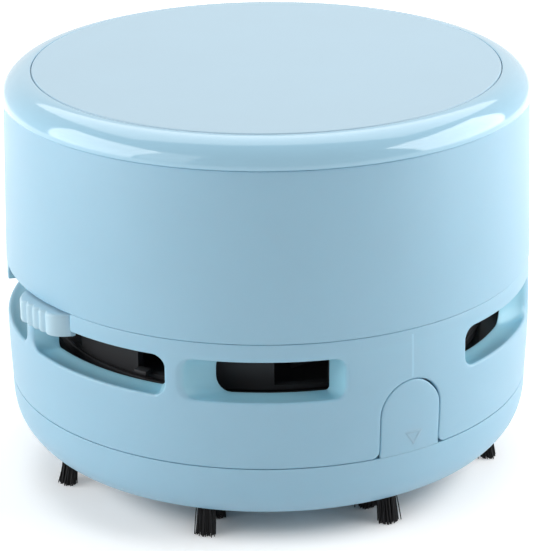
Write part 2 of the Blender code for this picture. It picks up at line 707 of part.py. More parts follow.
def make_cells(material, parent):
    """Both cells share one mesh. The left one's nub points back and the right one's forward."""
    profile = [
        (0.0, CELL_LENGTH + NUB_LENGTH),
        (NUB_RADIUS, CELL_LENGTH + NUB_LENGTH),
        (NUB_RADIUS, CELL_LENGTH),
        (CELL_RADIUS - CELL_BEVEL, CELL_LENGTH),
        (CELL_RADIUS, CELL_LENGTH - CELL_BEVEL),
        (CELL_RADIUS, 0.0),
        (0.0, 0.0),
    ]
    mesh = turned("battery_cell", profile, SMALL_STEPS)
    flat_end = BAY_HALF_LENGTH - CLEARANCE - CELL_LENGTH - NUB_LENGTH
    for name, side in (("battery_cell_left", -1), ("battery_cell_right", 1)):
        cell = place(name, mesh, material, parent)
        cell.location = (side * CELL_OFFSET, side * -flat_end, CELL_HEIGHT)
        cell.rotation_euler = (side * math.pi / 2, 0.0, 0.0)


def make_contacts(material, parent):
    """A bridge across the front ends of both cells, and a plate behind each at the rear."""
    heights = (CONTACT_LOW_HEIGHT, CONTACT_TOP_HEIGHT)
    reach = CELL_OFFSET + CONTACT_HALF_WIDTH
    inner = CELL_OFFSET - CONTACT_HALF_WIDTH
    back = BAY_HALF_LENGTH + CONTACT_THICKNESS
    plates = (
        ("contact_bridge", (-reach, -back), (reach, -BAY_HALF_LENGTH)),
        ("contact_feed", (-reach, BAY_HALF_LENGTH), (-inner, back)),
        ("contact_return", (inner, BAY_HALF_LENGTH), (reach, back)),
    )
    for name, low, high in plates:
        bm = bmesh.new()
        add_box(bm, (*low, heights[0]), (*high, heights[1]))
        place(name, mesh_of(bm, name), material, parent)


def tube(name, points, radius, resolution, material, parent):
    """A wire or lead along the points, with flat filled ends."""
    curve = bpy.data.curves.new(name, "CURVE")
    curve.dimensions = "3D"
    curve.bevel_depth = radius
    curve.bevel_resolution = resolution
    curve.use_fill_caps = True
    spline = curve.splines.new("POLY")
    spline.points.add(len(points) - 1)
    for knot, point in zip(spline.points, points):
        knot.co = (*point, 1.0)
    curve.materials.append(material)
    obj = bpy.data.objects.new(name, curve)
    bpy.context.scene.collection.objects.link(obj)
    obj.parent = parent
    return obj


def least_gap_to_itself(points, radius, skip):
    """The smallest space between turns, measured on the points."""
    array = np.array([tuple(point) for point in points])
    apart = np.linalg.norm(array[:, None] - array[None], axis=2)
    near = np.abs(np.subtract.outer(range(len(array)), range(len(array)))) < skip
    apart[near] = np.inf
    return apart.min() - 2 * radius


def make_springs(material, parent):
    """The cone spring at each flat cell end, wide on its plate and narrow on the cell."""
    length = SPRING_ROOM - 3 * CLEARANCE
    travel = length - 2 * SPRING_WIRE_RADIUS
    count = SPRING_TURNS * SPRING_POINTS_PER_TURN
    points = []
    for i in range(count + 1):
        share = i / count
        angle = math.tau * SPRING_TURNS * share
        radius = SPRING_WIDE_RADIUS + share * (SPRING_NARROW_RADIUS - SPRING_WIDE_RADIUS)
        height = SPRING_WIRE_RADIUS + share * travel
        points.append(Vector((radius * math.cos(angle), radius * math.sin(angle), height)))
    gap = least_gap_to_itself(points, SPRING_WIRE_RADIUS, SPRING_POINTS_PER_TURN // 2)
    print("spring: least gap to itself, in metres:", round(gap, 6))
    for name, side in (("battery_spring_left", -1), ("battery_spring_right", 1)):
        spring = tube(name, points, SPRING_WIRE_RADIUS, WIRE_RESOLUTION, material, parent)
        spring.location = (side * CELL_OFFSET, side * (BAY_HALF_LENGTH - CLEARANCE), CELL_HEIGHT)
        spring.rotation_euler = (side * math.pi / 2, 0.0, 0.0)


# Leads: three insulated wires from the contacts to the switch strips and the motor

LEAD_RADIUS = 0.0005
LEAD_RESOLUTION = 2
LEAD_STEPS = 2
LEAD_TO_CONTACT = 0.0008
LEAD_TO_STRIP = 0.0006
LEAD_DROP = 0.0010
LEAD_OVER_CELL = 0.0020
LEAD_AZIMUTH = -78.4
# How far a lead has come at each of its points, as a share for each axis
FEED_SHARES = (
    (0.00, 0.000, 0.00),
    (0.26, 0.017, 0.03),
    (0.47, 0.108, 0.20),
    (0.65, 0.311, 0.63),
    (0.85, 0.587, 0.94),
    (1.00, 0.849, 1.00),
    (1.00, 1.000, 1.00),
)
SWITCHED_RISE_SHARES = (
    (0.00, 0.00, 0.00),
    (0.01, 0.46, 0.17),
    (0.17, 0.87, 0.59),
    (0.54, 1.03, 0.93),
)
SWITCHED_REACH_SHARES = (
    (0.00, 0.00, 0.00),
    (0.36, 0.19, 0.48),
    (0.59, 0.45, 0.88),
    (0.81, 0.74, 1.01),
    (1.00, 1.00, 1.00),
)
RETURN_SHARES = (
    (0.00, 0.00, 0.00),
    (0.13, 0.09, 0.23),
    (0.39, 0.32, 0.57),
    (0.64, 0.63, 0.89),
    (0.83, 0.88, 1.03),
    (1.00, 1.00, 1.00),
)


def between(start, end, shares):
    """Points part of the way from start to end."""
    return [
        Vector([a + (b - a) * share for a, b, share in zip(start, end, three)])
        for three in shares
    ]


def smooth_route(route):
    """Points along a Catmull-Rom curve through the route's own points."""
    knots = [2 * route[0] - route[1], *route, 2 * route[-1] - route[-2]]
    points = []
    for before, start, end, after in zip(knots, knots[1:], knots[2:], knots[3:]):
        for i in range(LEAD_STEPS):
            t = i / LEAD_STEPS
            points.append(
                0.5
                * (
                    2 * start
                    + (end - before) * t
                    + (2 * before - 5 * start + 4 * end - after) * t**2
                    + (3 * start - before - 3 * end + after) * t**3
                )
            )
    return [*points, knots[-2]]


def make_leads(red, black, parent):
    contact = CELL_OFFSET + CONTACT_HALF_WIDTH + LEAD_TO_CONTACT
    start = Vector((-contact, BAY_HALF_LENGTH + CLEARANCE, CELL_HEIGHT))
    strip_top = STRIP_LOW_HEIGHT + STRIP_THICKNESS + LEAD_TO_STRIP + LEAD_RADIUS
    end = polar(sum(STRIP_FEED_RADII) / 2, LEAD_AZIMUTH, strip_top)
    feed = between(start, end, FEED_SHARES)
    start = polar(sum(STRIP_SWITCHED_RADII) / 2, LEAD_AZIMUTH, strip_top)
    above = Vector((-CELL_OFFSET, LEAD_DROP, CELL_HEIGHT + CELL_RADIUS + LEAD_OVER_CELL))
    beside = TERMINAL_WIDTH / 2 + LEAD_TO_STRIP
    end = Vector((-beside, LEAD_TO_CONTACT - TERMINAL_OFFSET, TERMINAL_TOP_HEIGHT))
    switched = between(start, above, SWITCHED_RISE_SHARES)
    switched += between(above, end, SWITCHED_REACH_SHARES)
    contact = CELL_OFFSET - CONTACT_HALF_WIDTH - LEAD_TO_CONTACT
    start = Vector((contact, BAY_HALF_LENGTH + CLEARANCE, CONTACT_TOP_HEIGHT - LEAD_DROP))
    behind = TERMINAL_OFFSET + TERMINAL_THICKNESS / 2 + LEAD_DROP
    end = Vector((0.0, behind, TERMINAL_TOP_HEIGHT - CLEARANCE))
    returned = between(start, end, RETURN_SHARES)
    for name, route, insulation in (
        ("lead_feed", feed, red),
        ("lead_switched", switched, red),
        ("lead_return", returned, black),
    ):
        tube(name, smooth_route(route), LEAD_RADIUS, LEAD_RESOLUTION, insulation, parent)


# Screws: three from the deck through the housing's flange into the lugs of the main body

SCREW_HEAD_RADIUS = 0.0015
SCREW_HEAD_HEIGHT = 0.0010
SCREW_STEPS = 12


def make_screws(material, parent):
    seat = DECK_TOP_HEIGHT + CLEARANCE
    profile = [
        (0.0, SCREW_HEAD_HEIGHT),
        (SCREW_HEAD_RADIUS, SCREW_HEAD_HEIGHT),
        (SCREW_HEAD_RADIUS, 0.0),
        (SCREW_RADIUS, 0.0),
        (SCREW_RADIUS, LUG_LOW_HEIGHT - seat),
        (0.0, LUG_LOW_HEIGHT - seat),
    ]
    mesh = turned("chassis_screw", profile, SCREW_STEPS)
    for i, azimuth in enumerate(SCREW_AZIMUTHS):
        screw = place(f"chassis_screw_{i + 1}", mesh, material, parent)
        screw.location = polar(SCREW_CIRCLE_RADIUS, azimuth, seat)


# Switch: a ribbed knob that slides round the rim, its wiper and the two strips on the deck

SWITCH_TRAVEL = 14.5
KNOB_AZIMUTHS = (-62.9, -45.6)
KNOB_END_ANGLE = 4.8
KNOB_LOBE_ANGLE = 5.0
KNOB_RIDGES = 3.5
KNOB_PROUD = 0.0021
KNOB_RADIUS = SHELL_RADIUS + KNOB_PROUD
KNOB_RIDGE_DEPTH = 0.0005
KNOB_RIDGE_FALL = 0.0004
KNOB_END_DROP = 0.0022
KNOB_END_POWER = 1.6
KNOB_DIP_SHARE = 0.25
KNOB_STATION_ANGLE = 0.37
KNOB_DEPTH = 0.0035
KNOB_BACK_RADIUS = KNOB_RADIUS - KNOB_DEPTH
KNOB_HEIGHT = 0.0035
KNOB_TOP_HEIGHT = SEAM_HEIGHT - CLEARANCE
KNOB_LOW_HEIGHT = KNOB_TOP_HEIGHT - KNOB_HEIGHT
KNOB_ROUND = 0.0006
STEM_AZIMUTHS = (-56.45, -52.05)
STEM_HEIGHT = 0.0017
STEM_HEIGHTS = (KNOB_TOP_HEIGHT - SINK - STEM_HEIGHT, KNOB_TOP_HEIGHT - SINK)
POST_INSET = 0.0004
POST_INSET_ANGLE = 0.25
POST_RADIUS = FLANGE_RADIUS - POST_INSET
POST_DEPTH = 0.0013
STEM_INNER_RADIUS = POST_RADIUS - POST_DEPTH
HOLDER_AZIMUTHS = (-57.55, -50.95)
HOLDER_DEPTH = 0.0057
HOLDER_INNER_RADIUS = POST_RADIUS - HOLDER_DEPTH
HOLDER_THICKNESS = 0.0008
STRIP_THICKNESS = 0.0003
STRIP_WIDTH = 0.0011
STRIP_GAP = 0.0007
STRIP_FEED_INNER_RADIUS = HOLDER_INNER_RADIUS + CLEARANCE
STRIP_FEED_RADII = (STRIP_FEED_INNER_RADIUS, STRIP_FEED_INNER_RADIUS + STRIP_WIDTH)
STRIP_SWITCHED_INNER_RADIUS = STRIP_FEED_RADII[1] + STRIP_GAP
STRIP_SWITCHED_RADII = (STRIP_SWITCHED_INNER_RADIUS, STRIP_SWITCHED_INNER_RADIUS + STRIP_WIDTH)
STRIP_FEED_AZIMUTHS = (-80.0, -50.0)
STRIP_SWITCHED_AZIMUTHS = (-80.0, -58.0)
STRIP_STEPS = 6
STRIP_LOW_HEIGHT = DECK_TOP_HEIGHT + CLEARANCE
WIPER_LOW_HEIGHT = STRIP_LOW_HEIGHT + STRIP_THICKNESS + CLEARANCE
HOLDER_LOW_HEIGHT = WIPER_LOW_HEIGHT + STRIP_THICKNESS + CLEARANCE


def knob_radius(azimuth):
    """A rounded left end, ridges along the middle, and a smooth lobe at the right end."""
    start, end = KNOB_AZIMUTHS
    ribbed, lobe = start + KNOB_END_ANGLE, end - KNOB_LOBE_ANGLE
    if azimuth < ribbed:
        return KNOB_RADIUS - KNOB_END_DROP * ((ribbed - azimuth) / KNOB_END_ANGLE) ** KNOB_END_POWER
    if azimuth < lobe:
        share = (azimuth - ribbed) / (lobe - ribbed)
        ridge = abs(math.cos(math.pi * KNOB_RIDGES * share))
        return KNOB_RADIUS - KNOB_RIDGE_DEPTH * (1 - ridge) - KNOB_RIDGE_FALL * share
    share = (azimuth - lobe) / KNOB_LOBE_ANGLE
    dip = KNOB_RIDGE_DEPTH * max(0.0, 1 - share / KNOB_DIP_SHARE) ** 2
    fall = KNOB_END_DROP * (max(0.0, share - KNOB_DIP_SHARE) / (1 - KNOB_DIP_SHARE)) ** 2
    return KNOB_RADIUS - KNOB_RIDGE_FALL - dip - fall


def make_knob(material, parent):
    start, end = KNOB_AZIMUTHS
    sections = []
    for azimuth in np.linspace(start, end, round((end - start) / KNOB_STATION_ANGLE) + 1):
        radius = knob_radius(azimuth)
        corners = (
            (KNOB_BACK_RADIUS, KNOB_LOW_HEIGHT),
            (radius - KNOB_ROUND, KNOB_LOW_HEIGHT),
            (radius, KNOB_LOW_HEIGHT + KNOB_ROUND),
            (radius, KNOB_TOP_HEIGHT - KNOB_ROUND / 2),
            (radius - KNOB_ROUND / 2, KNOB_TOP_HEIGHT),
            (KNOB_BACK_RADIUS, KNOB_TOP_HEIGHT),
        )
        sections.append([polar(r, azimuth, z) for r, z in corners])
    bm = bmesh.new()
    add_loft(bm, sections)
    knob = place("switch_knob", mesh_of(bm, "switch_knob"), material, parent)
    top = HOLDER_LOW_HEIGHT + HOLDER_THICKNESS
    carrier = bmesh.new()
    radii = (STEM_INNER_RADIUS, KNOB_BACK_RADIUS + SINK)
    add_arc_block(carrier, radii, STEM_AZIMUTHS, STEM_HEIGHTS, 2)
    combine(knob, carrier, "UNION", "switch_knob_stem")
    carrier = bmesh.new()
    post = (STEM_AZIMUTHS[0] + POST_INSET_ANGLE, STEM_AZIMUTHS[1] - POST_INSET_ANGLE)
    radii = (STEM_INNER_RADIUS + SINK, POST_RADIUS)
    add_arc_block(carrier, radii, post, (STEM_HEIGHTS[0] + SINK, top - SINK), 1)
    combine(knob, carrier, "UNION", "switch_knob_post")
    carrier = bmesh.new()
    radii = (HOLDER_INNER_RADIUS, POST_RADIUS - SINK)
    add_arc_block(carrier, radii, HOLDER_AZIMUTHS, (HOLDER_LOW_HEIGHT, top), 2)
    combine(knob, carrier, "UNION", "switch_knob_holder")
    return knob


def make_wiper(material, parent):
    bm = bmesh.new()
    heights = (WIPER_LOW_HEIGHT, WIPER_LOW_HEIGHT + STRIP_THICKNESS)
    radii = (STRIP_FEED_RADII[0], STRIP_SWITCHED_RADII[1])
    add_arc_block(bm, radii, STEM_AZIMUTHS, heights, 2)
    return place("switch_wiper", mesh_of(bm, "switch_wiper"), material, parent)


def make_strips(material, parent):
    strips = (
        ("switch_strip_feed", STRIP_FEED_RADII, STRIP_FEED_AZIMUTHS),
        ("switch_strip_motor", STRIP_SWITCHED_RADII, STRIP_SWITCHED_AZIMUTHS),
    )
    heights = (STRIP_LOW_HEIGHT, STRIP_LOW_HEIGHT + STRIP_THICKNESS)
    for name, radii, azimuths in strips:
        bm = bmesh.new()
        add_arc_block(bm, radii, azimuths, heights, STRIP_STEPS)
        place(name, mesh_of(bm, name), material, parent)


# Base: the dust tray with its inlet chimney, the filter on top and the bristle rows below

BASE_DROP = 0.0027
BASE_CURVE_POWER = 3.3
BASE_CURVE_STEPS = 5
BASE_TOP_HEIGHT = PARTING_HEIGHT - CLEARANCE / 2
BASE_EDGE = 0.0004
BASE_FLOOR = 0.0024
LIP_GAP = 0.0006
LIP_RADIUS = SKIRT_INNER_RADIUS - LIP_GAP
LIP_WALL = 0.0014
INLET_RADIUS = 0.0090
CHIMNEY_WALL = 0.0014
CHIMNEY_DROP = 0.0035
CHIMNEY_TOP_HEIGHT = LIP_TOP_HEIGHT - CHIMNEY_DROP
FILTER_FRAME_INSET = 0.0005
FILTER_FRAME_RADIUS = LIP_RADIUS - FILTER_FRAME_INSET
FILTER_RIM_WIDTH = 0.0056
FILTER_SEAT_RADIUS = FILTER_FRAME_RADIUS - FILTER_RIM_WIDTH
FILTER_SEAT_WIDTH = 0.0018
FILTER_FRAME_INNER_RADIUS = FILTER_SEAT_RADIUS - FILTER_SEAT_WIDTH
FILTER_LEDGE = 0.0010
FILTER_BAR_HALF_WIDTH = 0.0008
FILTER_PAD_THICKNESS = 0.0014
ROW_COUNT = 8
ROW_FIRST_AZIMUTH = -15.5
ROW_INSET = 0.00368
ROW_OUTER_RADIUS = RIM_RADIUS - ROW_INSET
ROW_LENGTH = 0.0094
ROW_INNER_RADIUS = ROW_OUTER_RADIUS - ROW_LENGTH
ROW_HALF_WIDTH = 0.0024
ROW_THICKNESS = 0.0013


def base_outer_curve():
    """The base's side, nearly upright at the joint line and rolling in to its underside."""
    low = BRISTLE_REACH + BASE_EDGE
    points = []
    for height in np.linspace(low, BASE_TOP_HEIGHT, BASE_CURVE_STEPS + 1):
        share = (BASE_TOP_HEIGHT - height) / (BASE_TOP_HEIGHT - BRISTLE_REACH)
        points.append((RIM_RADIUS - BASE_DROP * share**BASE_CURVE_POWER, height))
    return points


def make_base_tray(material, parent):
    curve = base_outer_curve()
    floor = BRISTLE_REACH + BASE_FLOOR
    profile = [
        (INLET_RADIUS, BRISTLE_REACH),
        (curve[0][0] - BASE_EDGE, BRISTLE_REACH),
        *curve,
        (LIP_RADIUS, BASE_TOP_HEIGHT),
        (LIP_RADIUS, LIP_TOP_HEIGHT),
        (LIP_RADIUS - LIP_WALL, LIP_TOP_HEIGHT),
        (LIP_RADIUS - LIP_WALL, floor),
        (INLET_RADIUS + CHIMNEY_WALL, floor),
        (INLET_RADIUS + CHIMNEY_WALL, CHIMNEY_TOP_HEIGHT),
        (INLET_RADIUS, CHIMNEY_TOP_HEIGHT),
    ]
    tray = place("base_tray", turned("base_tray", profile), material, parent)
    pockets = bmesh.new()
    half = ROW_HALF_WIDTH + CLEARANCE
    ends = (ROW_INNER_RADIUS - CLEARANCE, ROW_OUTER_RADIUS + CLEARANCE)
    roof = BRISTLE_REACH + ROW_THICKNESS + CLEARANCE
    for i in range(ROW_COUNT):
        azimuth = ROW_FIRST_AZIMUTH + 360.0 / ROW_COUNT * i
        out = polar(1.0, azimuth, 0.0)
        tangent = polar(1.0, azimuth + 90.0, 0.0)
        corners = ((ends[0], -half), (ends[1], -half), (ends[1], half), (ends[0], half))
        outline = [out * along + tangent * across for along, across in corners]
        start = UP * (BRISTLE_REACH - OVERRUN)
        add_prism(pockets, outline, start, UP * (roof - BRISTLE_REACH + OVERRUN))
    combine(tray, pockets, "DIFFERENCE", "base_tray_pockets")
    return tray


def make_filter_frame(material, parent):
    low = FILTER_LOW_HEIGHT
    profile = [
        (FILTER_FRAME_INNER_RADIUS, low),
        (FILTER_FRAME_RADIUS, low),
        (FILTER_FRAME_RADIUS, low + FILTER_FRAME_HEIGHT),
        (FILTER_SEAT_RADIUS, low + FILTER_FRAME_HEIGHT),
        (FILTER_SEAT_RADIUS, low + FILTER_LEDGE),
        (FILTER_FRAME_INNER_RADIUS, low + FILTER_LEDGE),
    ]
    mesh = turned("filter_frame", profile, MEDIUM_STEPS)
    frame = place("filter_frame", mesh, material, parent)
    reach = FILTER_FRAME_INNER_RADIUS + SINK * 2
    half = FILTER_BAR_HALF_WIDTH
    for name, x, y in (("filter_bar_across", reach, half), ("filter_bar_along", half, reach)):
        bar = bmesh.new()
        add_box(bar, (-x, -y, low), (x, y, low + FILTER_LEDGE))
        combine(frame, bar, "UNION", name)
    return frame


def make_filter_pad(material, parent):
    low = FILTER_LOW_HEIGHT + FILTER_LEDGE + CLEARANCE
    radius = FILTER_SEAT_RADIUS - CLEARANCE
    profile = [
        (0.0, low + FILTER_PAD_THICKNESS),
        (radius, low + FILTER_PAD_THICKNESS),
        (radius, low),
        (0.0, low),
    ]
    return place("filter_pad", turned("filter_pad", profile, MEDIUM_STEPS), material, parent)


# Bristle rows: a strip with two tufts each, pressed into the tray's pockets from below

STRAND_PITCH = 0.00045
TUFT_CELLS_ACROSS = 8
TUFT_CELLS_ALONG = 5
TUFT_INSETS = (0.0025, 0.0019)
TUFT_RADII = (ROW_INNER_RADIUS + TUFT_INSETS[0], ROW_OUTER_RADIUS - TUFT_INSETS[1])
TUFT_SPREAD_SHARES = (1.30, 1.45)
TUFT_LEANS = (0.0002, 0.0009)
STRAND_TIP_SHARE = 0.8
STRAND_STRAY = 0.00006
TIP_CUT = 0.0005
BRISTLE_SEED = 7


def grid_lines(start, end, tufts, cells):
    """The strip's grid lines one way: its two edges and the lines of its tufts' cells."""
    lines = [start]
    for centre in tufts:
        lines += [centre + STRAND_PITCH * (i - cells / 2) for i in range(cells + 1)]
    return [*lines, end]


def tuft_of(along):
    """Which tuft this distance along the strip lies in, if any."""
    for index, centre in enumerate(TUFT_RADII):
        if abs(along - centre) < STRAND_PITCH * TUFT_CELLS_ALONG / 2:
            return index
    return None


def strand_tip(corner, middle, tuft, stray):
    """Where a root corner of a strand ends, on the floor plane that trims the tuft flat."""
    centre = np.array((0.0, TUFT_RADII[tuft]))
    spread = 1 + (TUFT_SPREAD_SHARES[tuft] - 1) * BRISTLE_REACH / (BRISTLE_REACH + TIP_CUT)
    tip = centre + (middle - centre) * spread + (0.0, TUFT_LEANS[tuft]) + stray
    return tip + (corner - middle) * STRAND_TIP_SHARE


def bristle_mesh():
    """The strip's lower face is a grid, and every other cell of a tuft is drawn down as a strand."""
    chance = np.random.default_rng(BRISTLE_SEED)
    across = grid_lines(-ROW_HALF_WIDTH, ROW_HALF_WIDTH, (0.0,), TUFT_CELLS_ACROSS)
    along = grid_lines(ROW_INNER_RADIUS, ROW_OUTER_RADIUS, TUFT_RADII, TUFT_CELLS_ALONG)
    low, high = BRISTLE_REACH, BRISTLE_REACH + ROW_THICKNESS
    bm = bmesh.new()
    grid = [[bm.verts.new((x, -y, low)) for y in along] for x in across]
    columns, rows = len(across) - 1, len(along) - 1
    for i in range(columns):
        for j in range(rows):
            cell = [grid[i][j], grid[i + 1][j], grid[i + 1][j + 1], grid[i][j + 1]]
            roots = np.array([(v.co.x, -v.co.y) for v in cell])
            middle = roots.mean(axis=0)
            tuft = tuft_of(middle[1])
            in_tuft = tuft is not None and 0 < i < columns - 1
            if not in_tuft or (i + j) % 2:
                bm.faces.new(cell)
                continue
            stray = chance.uniform(-STRAND_STRAY, STRAND_STRAY, 2)
            tips = [strand_tip(root, middle, tuft, stray) for root in roots]
            ends = [bm.verts.new((x, -y, 0.0)) for x, y in tips]
            for k in range(4):
                m = (k + 1) % 4
                bm.faces.new((cell[k], cell[m], ends[m], ends[k]))
            bm.faces.new(ends)
    corners = [grid[0][0], grid[-1][0], grid[-1][-1], grid[0][-1]]
    tops = [bm.verts.new((v.co.x, v.co.y, high)) for v in corners]
    edges = [
        [grid[i][0] for i in range(columns + 1)],
        [grid[-1][j] for j in range(rows + 1)],
        [grid[i][-1] for i in range(columns, -1, -1)],
        [grid[0][j] for j in range(rows, -1, -1)],
    ]
    for k, edge in enumerate(edges):
        bm.faces.new([*edge, tops[(k + 1) % 4], tops[k]])
    bm.faces.new(tops)
    return mesh_of(bm, "bristle_row")


def make_bristle_rows(material, parent):
    mesh = bristle_mesh()
    for i in range(ROW_COUNT):
        row = place(f"bristle_row_{i + 1}", mesh, material, parent)
        row.rotation_euler.z = math.radians(ROW_FIRST_AZIMUTH + 360.0 / ROW_COUNT * i)


# Release tab: an arched tongue of the base that bends inwards at its foot

TAB_WALL = 0.0020
TAB_LOW_HEIGHT = MID_LOW_HEIGHT
HINGE_HEIGHT = PARTING_HEIGHT
HINGE_RADIUS = RIM_RADIUS
HOOK_HALF_ANGLE = 3.0
HOOK_INSET_ANGLE = 0.25
HOOK_THICKNESS = 0.0011
HOOK_RADII = (FLANGE_RADIUS - HOOK_THICKNESS, FLANGE_RADIUS)
HOOK_REACH = 0.00255
HOOK_HEIGHTS = (TAB_TOP_HEIGHT - HOOK_REACH, TAB_TOP_HEIGHT + HOOK_REACH)
HOOK_FOOT_HEIGHT = 0.0014


def make_release_tab(material, parent):
    """Kept in place under its hinge's empty, so that its mesh is written from the hinge."""
    outer = mid_outer_curve(MID_LOW_HEIGHT, MID_HIGH_HEIGHT)
    inner_radius = WIDEST_RADIUS - TAB_WALL
    profile = [*outer, (inner_radius, MID_HIGH_HEIGHT), (inner_radius, MID_LOW_HEIGHT)]
    tab = place("release_tab", turned("release_tab", profile), material, parent)
    tab.location = -parent.location
    arch = bmesh.new()
    reach = WIDEST_RADIUS + OVERRUN
    add_arch(arch, 0.0, 0.0, TAB_LOW_HEIGHT - OVERRUN, HOOK_RADII[0], reach)
    combine(tab, arch, "INTERSECT", "release_tab_arch")
    hook = bmesh.new()
    ends = (TAB_AZIMUTH - HOOK_HALF_ANGLE, TAB_AZIMUTH + HOOK_HALF_ANGLE)
    foot = (HOOK_HEIGHTS[0], HOOK_HEIGHTS[0] + HOOK_FOOT_HEIGHT)
    add_arc_block(hook, (HOOK_RADII[0], inner_radius + SINK), ends, foot)
    combine(tab, hook, "UNION", "release_tab_foot")
    hook = bmesh.new()
    ends = (ends[0] + HOOK_INSET_ANGLE, ends[1] - HOOK_INSET_ANGLE)
    heights = (HOOK_HEIGHTS[0] + SINK, HOOK_HEIGHTS[1])
    add_arc_block(hook, (HOOK_RADII[0] + SINK, HOOK_RADII[1]), ends, heights)
    combine(tab, hook, "UNION", "release_tab_hook")
    return tab


clear_scene()

satin_blue = finish("satin_blue", (0.42, 0.68, 0.82), 0.42)
gloss_blue = finish("gloss_blue", (0.38, 0.66, 0.80), 0.12)
matt_blue = finish("matt_blue", (0.50, 0.72, 0.83), 0.55)
pale_blue = finish("pale_blue", (0.48, 0.73, 0.85), 0.30)
black_plastic = finish("black_plastic", (0.015, 0.015, 0.016), 0.45)
white_plastic = finish("white_plastic", (0.80, 0.80, 0.78), 0.45)
black_nylon = finish("black_nylon", (0.010, 0.010, 0.010), 0.50)
filter_felt = finish("filter_felt", (0.75, 0.75, 0.72), 0.90)
zinc_steel = finish("zinc_steel", (0.60, 0.60, 0.60), 0.30, 1.0)
motor_case = finish("motor_case", (0.60, 0.60, 0.60), 0.30, 1.0)
nickel = finish("nickel", (0.70, 0.68, 0.62), 0.25, 1.0)
copper = finish("copper", (0.80, 0.42, 0.24), 0.30, 1.0)
cell_sleeve = finish("cell_sleeve", (0.05, 0.16, 0.10), 0.35)
red_insulation = finish("red_insulation", (0.45, 0.02, 0.02), 0.45)
black_insulation = finish("black_insulation", (0.02, 0.02, 0.02), 0.45)

lift_slide = axis_empty("lift_slide")
cover_slide = axis_empty("cover_slide", parent=lift_slide)
knob_axis = axis_empty("knob_axis", parent=lift_slide)
fan_axis = axis_empty("fan_axis", parent=lift_slide)
tab_hinge = axis_empty("tab_hinge", polar(HINGE_RADIUS, TAB_AZIMUTH, HINGE_HEIGHT))

make_base_tray(satin_blue, None)
make_filter_frame(black_plastic, None)
make_filter_pad(filter_felt, None)
make_bristle_rows(black_nylon, None)
make_release_tab(satin_blue, tab_hinge)

make_mid_body(satin_blue, lift_slide)
make_fan_housing(black_plastic, lift_slide)
make_eye_plate(black_plastic, lift_slide)
make_battery_deck(black_plastic, lift_slide)
make_motor_can(motor_case, lift_slide)
make_motor_cap(white_plastic, lift_slide)
make_terminals(copper, lift_slide)
make_cells(cell_sleeve, lift_slide)
make_contacts(nickel, lift_slide)
make_springs(nickel, lift_slide)
make_strips(copper, lift_slide)
make_screws(zinc_steel, lift_slide)
make_leads(red_insulation, black_insulation, lift_slide)

make_knob(pale_blue, knob_axis)
make_wiper(copper, knob_axis)
make_impeller(black_plastic, fan_axis)
make_shaft(zinc_steel, fan_axis)

make_upper_shell(satin_blue, cover_slide)
make_gloss_ring(gloss_blue, cover_slide)
make_top_disc(matt_blue, cover_slide)
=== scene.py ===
import math

import bmesh
import bpy
import numpy as np
from mathutils import Matrix, Quaternion, Vector
from mathutils.geometry import delaunay_2d_cdt


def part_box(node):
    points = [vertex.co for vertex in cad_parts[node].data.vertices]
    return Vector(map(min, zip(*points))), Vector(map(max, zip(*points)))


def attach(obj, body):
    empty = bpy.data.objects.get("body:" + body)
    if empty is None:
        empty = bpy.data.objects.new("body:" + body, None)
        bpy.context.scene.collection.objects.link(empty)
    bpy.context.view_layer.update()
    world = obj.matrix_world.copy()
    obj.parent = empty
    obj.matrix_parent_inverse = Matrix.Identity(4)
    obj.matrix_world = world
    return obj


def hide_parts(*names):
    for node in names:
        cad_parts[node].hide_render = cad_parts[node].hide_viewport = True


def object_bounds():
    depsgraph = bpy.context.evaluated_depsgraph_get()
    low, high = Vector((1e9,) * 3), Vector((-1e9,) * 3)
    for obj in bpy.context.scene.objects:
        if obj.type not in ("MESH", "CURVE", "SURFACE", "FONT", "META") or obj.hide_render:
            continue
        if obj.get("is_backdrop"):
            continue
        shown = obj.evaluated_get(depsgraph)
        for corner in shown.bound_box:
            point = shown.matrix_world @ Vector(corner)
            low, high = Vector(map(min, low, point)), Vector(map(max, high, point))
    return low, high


# The studio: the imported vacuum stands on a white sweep, seen from a little above its front. Tall
# soft boxes stand left and right, so the round sides are lightest at their edges, and a wide one
# hangs above and behind. The white all round comes from the floor and the world.

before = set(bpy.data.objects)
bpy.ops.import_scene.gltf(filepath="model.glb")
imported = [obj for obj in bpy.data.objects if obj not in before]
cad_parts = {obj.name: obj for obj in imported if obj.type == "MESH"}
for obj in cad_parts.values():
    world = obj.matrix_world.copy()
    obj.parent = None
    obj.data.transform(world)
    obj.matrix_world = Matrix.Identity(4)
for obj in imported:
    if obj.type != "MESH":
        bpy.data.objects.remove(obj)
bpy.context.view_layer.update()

CAMERA_PLACE = Vector((-0.00023, -0.3134, 0.1509))
CAMERA_TARGET = Vector((-0.00023, 0.0, 0.02655))
CAMERA_LENS = 142.3
CAMERA_ROLL = -0.4755

camera_data = bpy.data.cameras.new("studio_camera")
camera_data.lens = CAMERA_LENS
camera_data.clip_start = 0.01
camera = bpy.data.objects.new("studio_camera", camera_data)
bpy.context.scene.collection.objects.link(camera)
camera.rotation_mode = "QUATERNION"
camera.location = CAMERA_PLACE
camera.rotation_quaternion = (CAMERA_TARGET - CAMERA_PLACE).to_track_quat("-Z", "Y") @ Quaternion(
    (0.0, 0.0, 1.0), math.radians(CAMERA_ROLL)
)
bpy.context.scene.camera = camera
bpy.context.scene.view_settings.view_transform = "Standard"

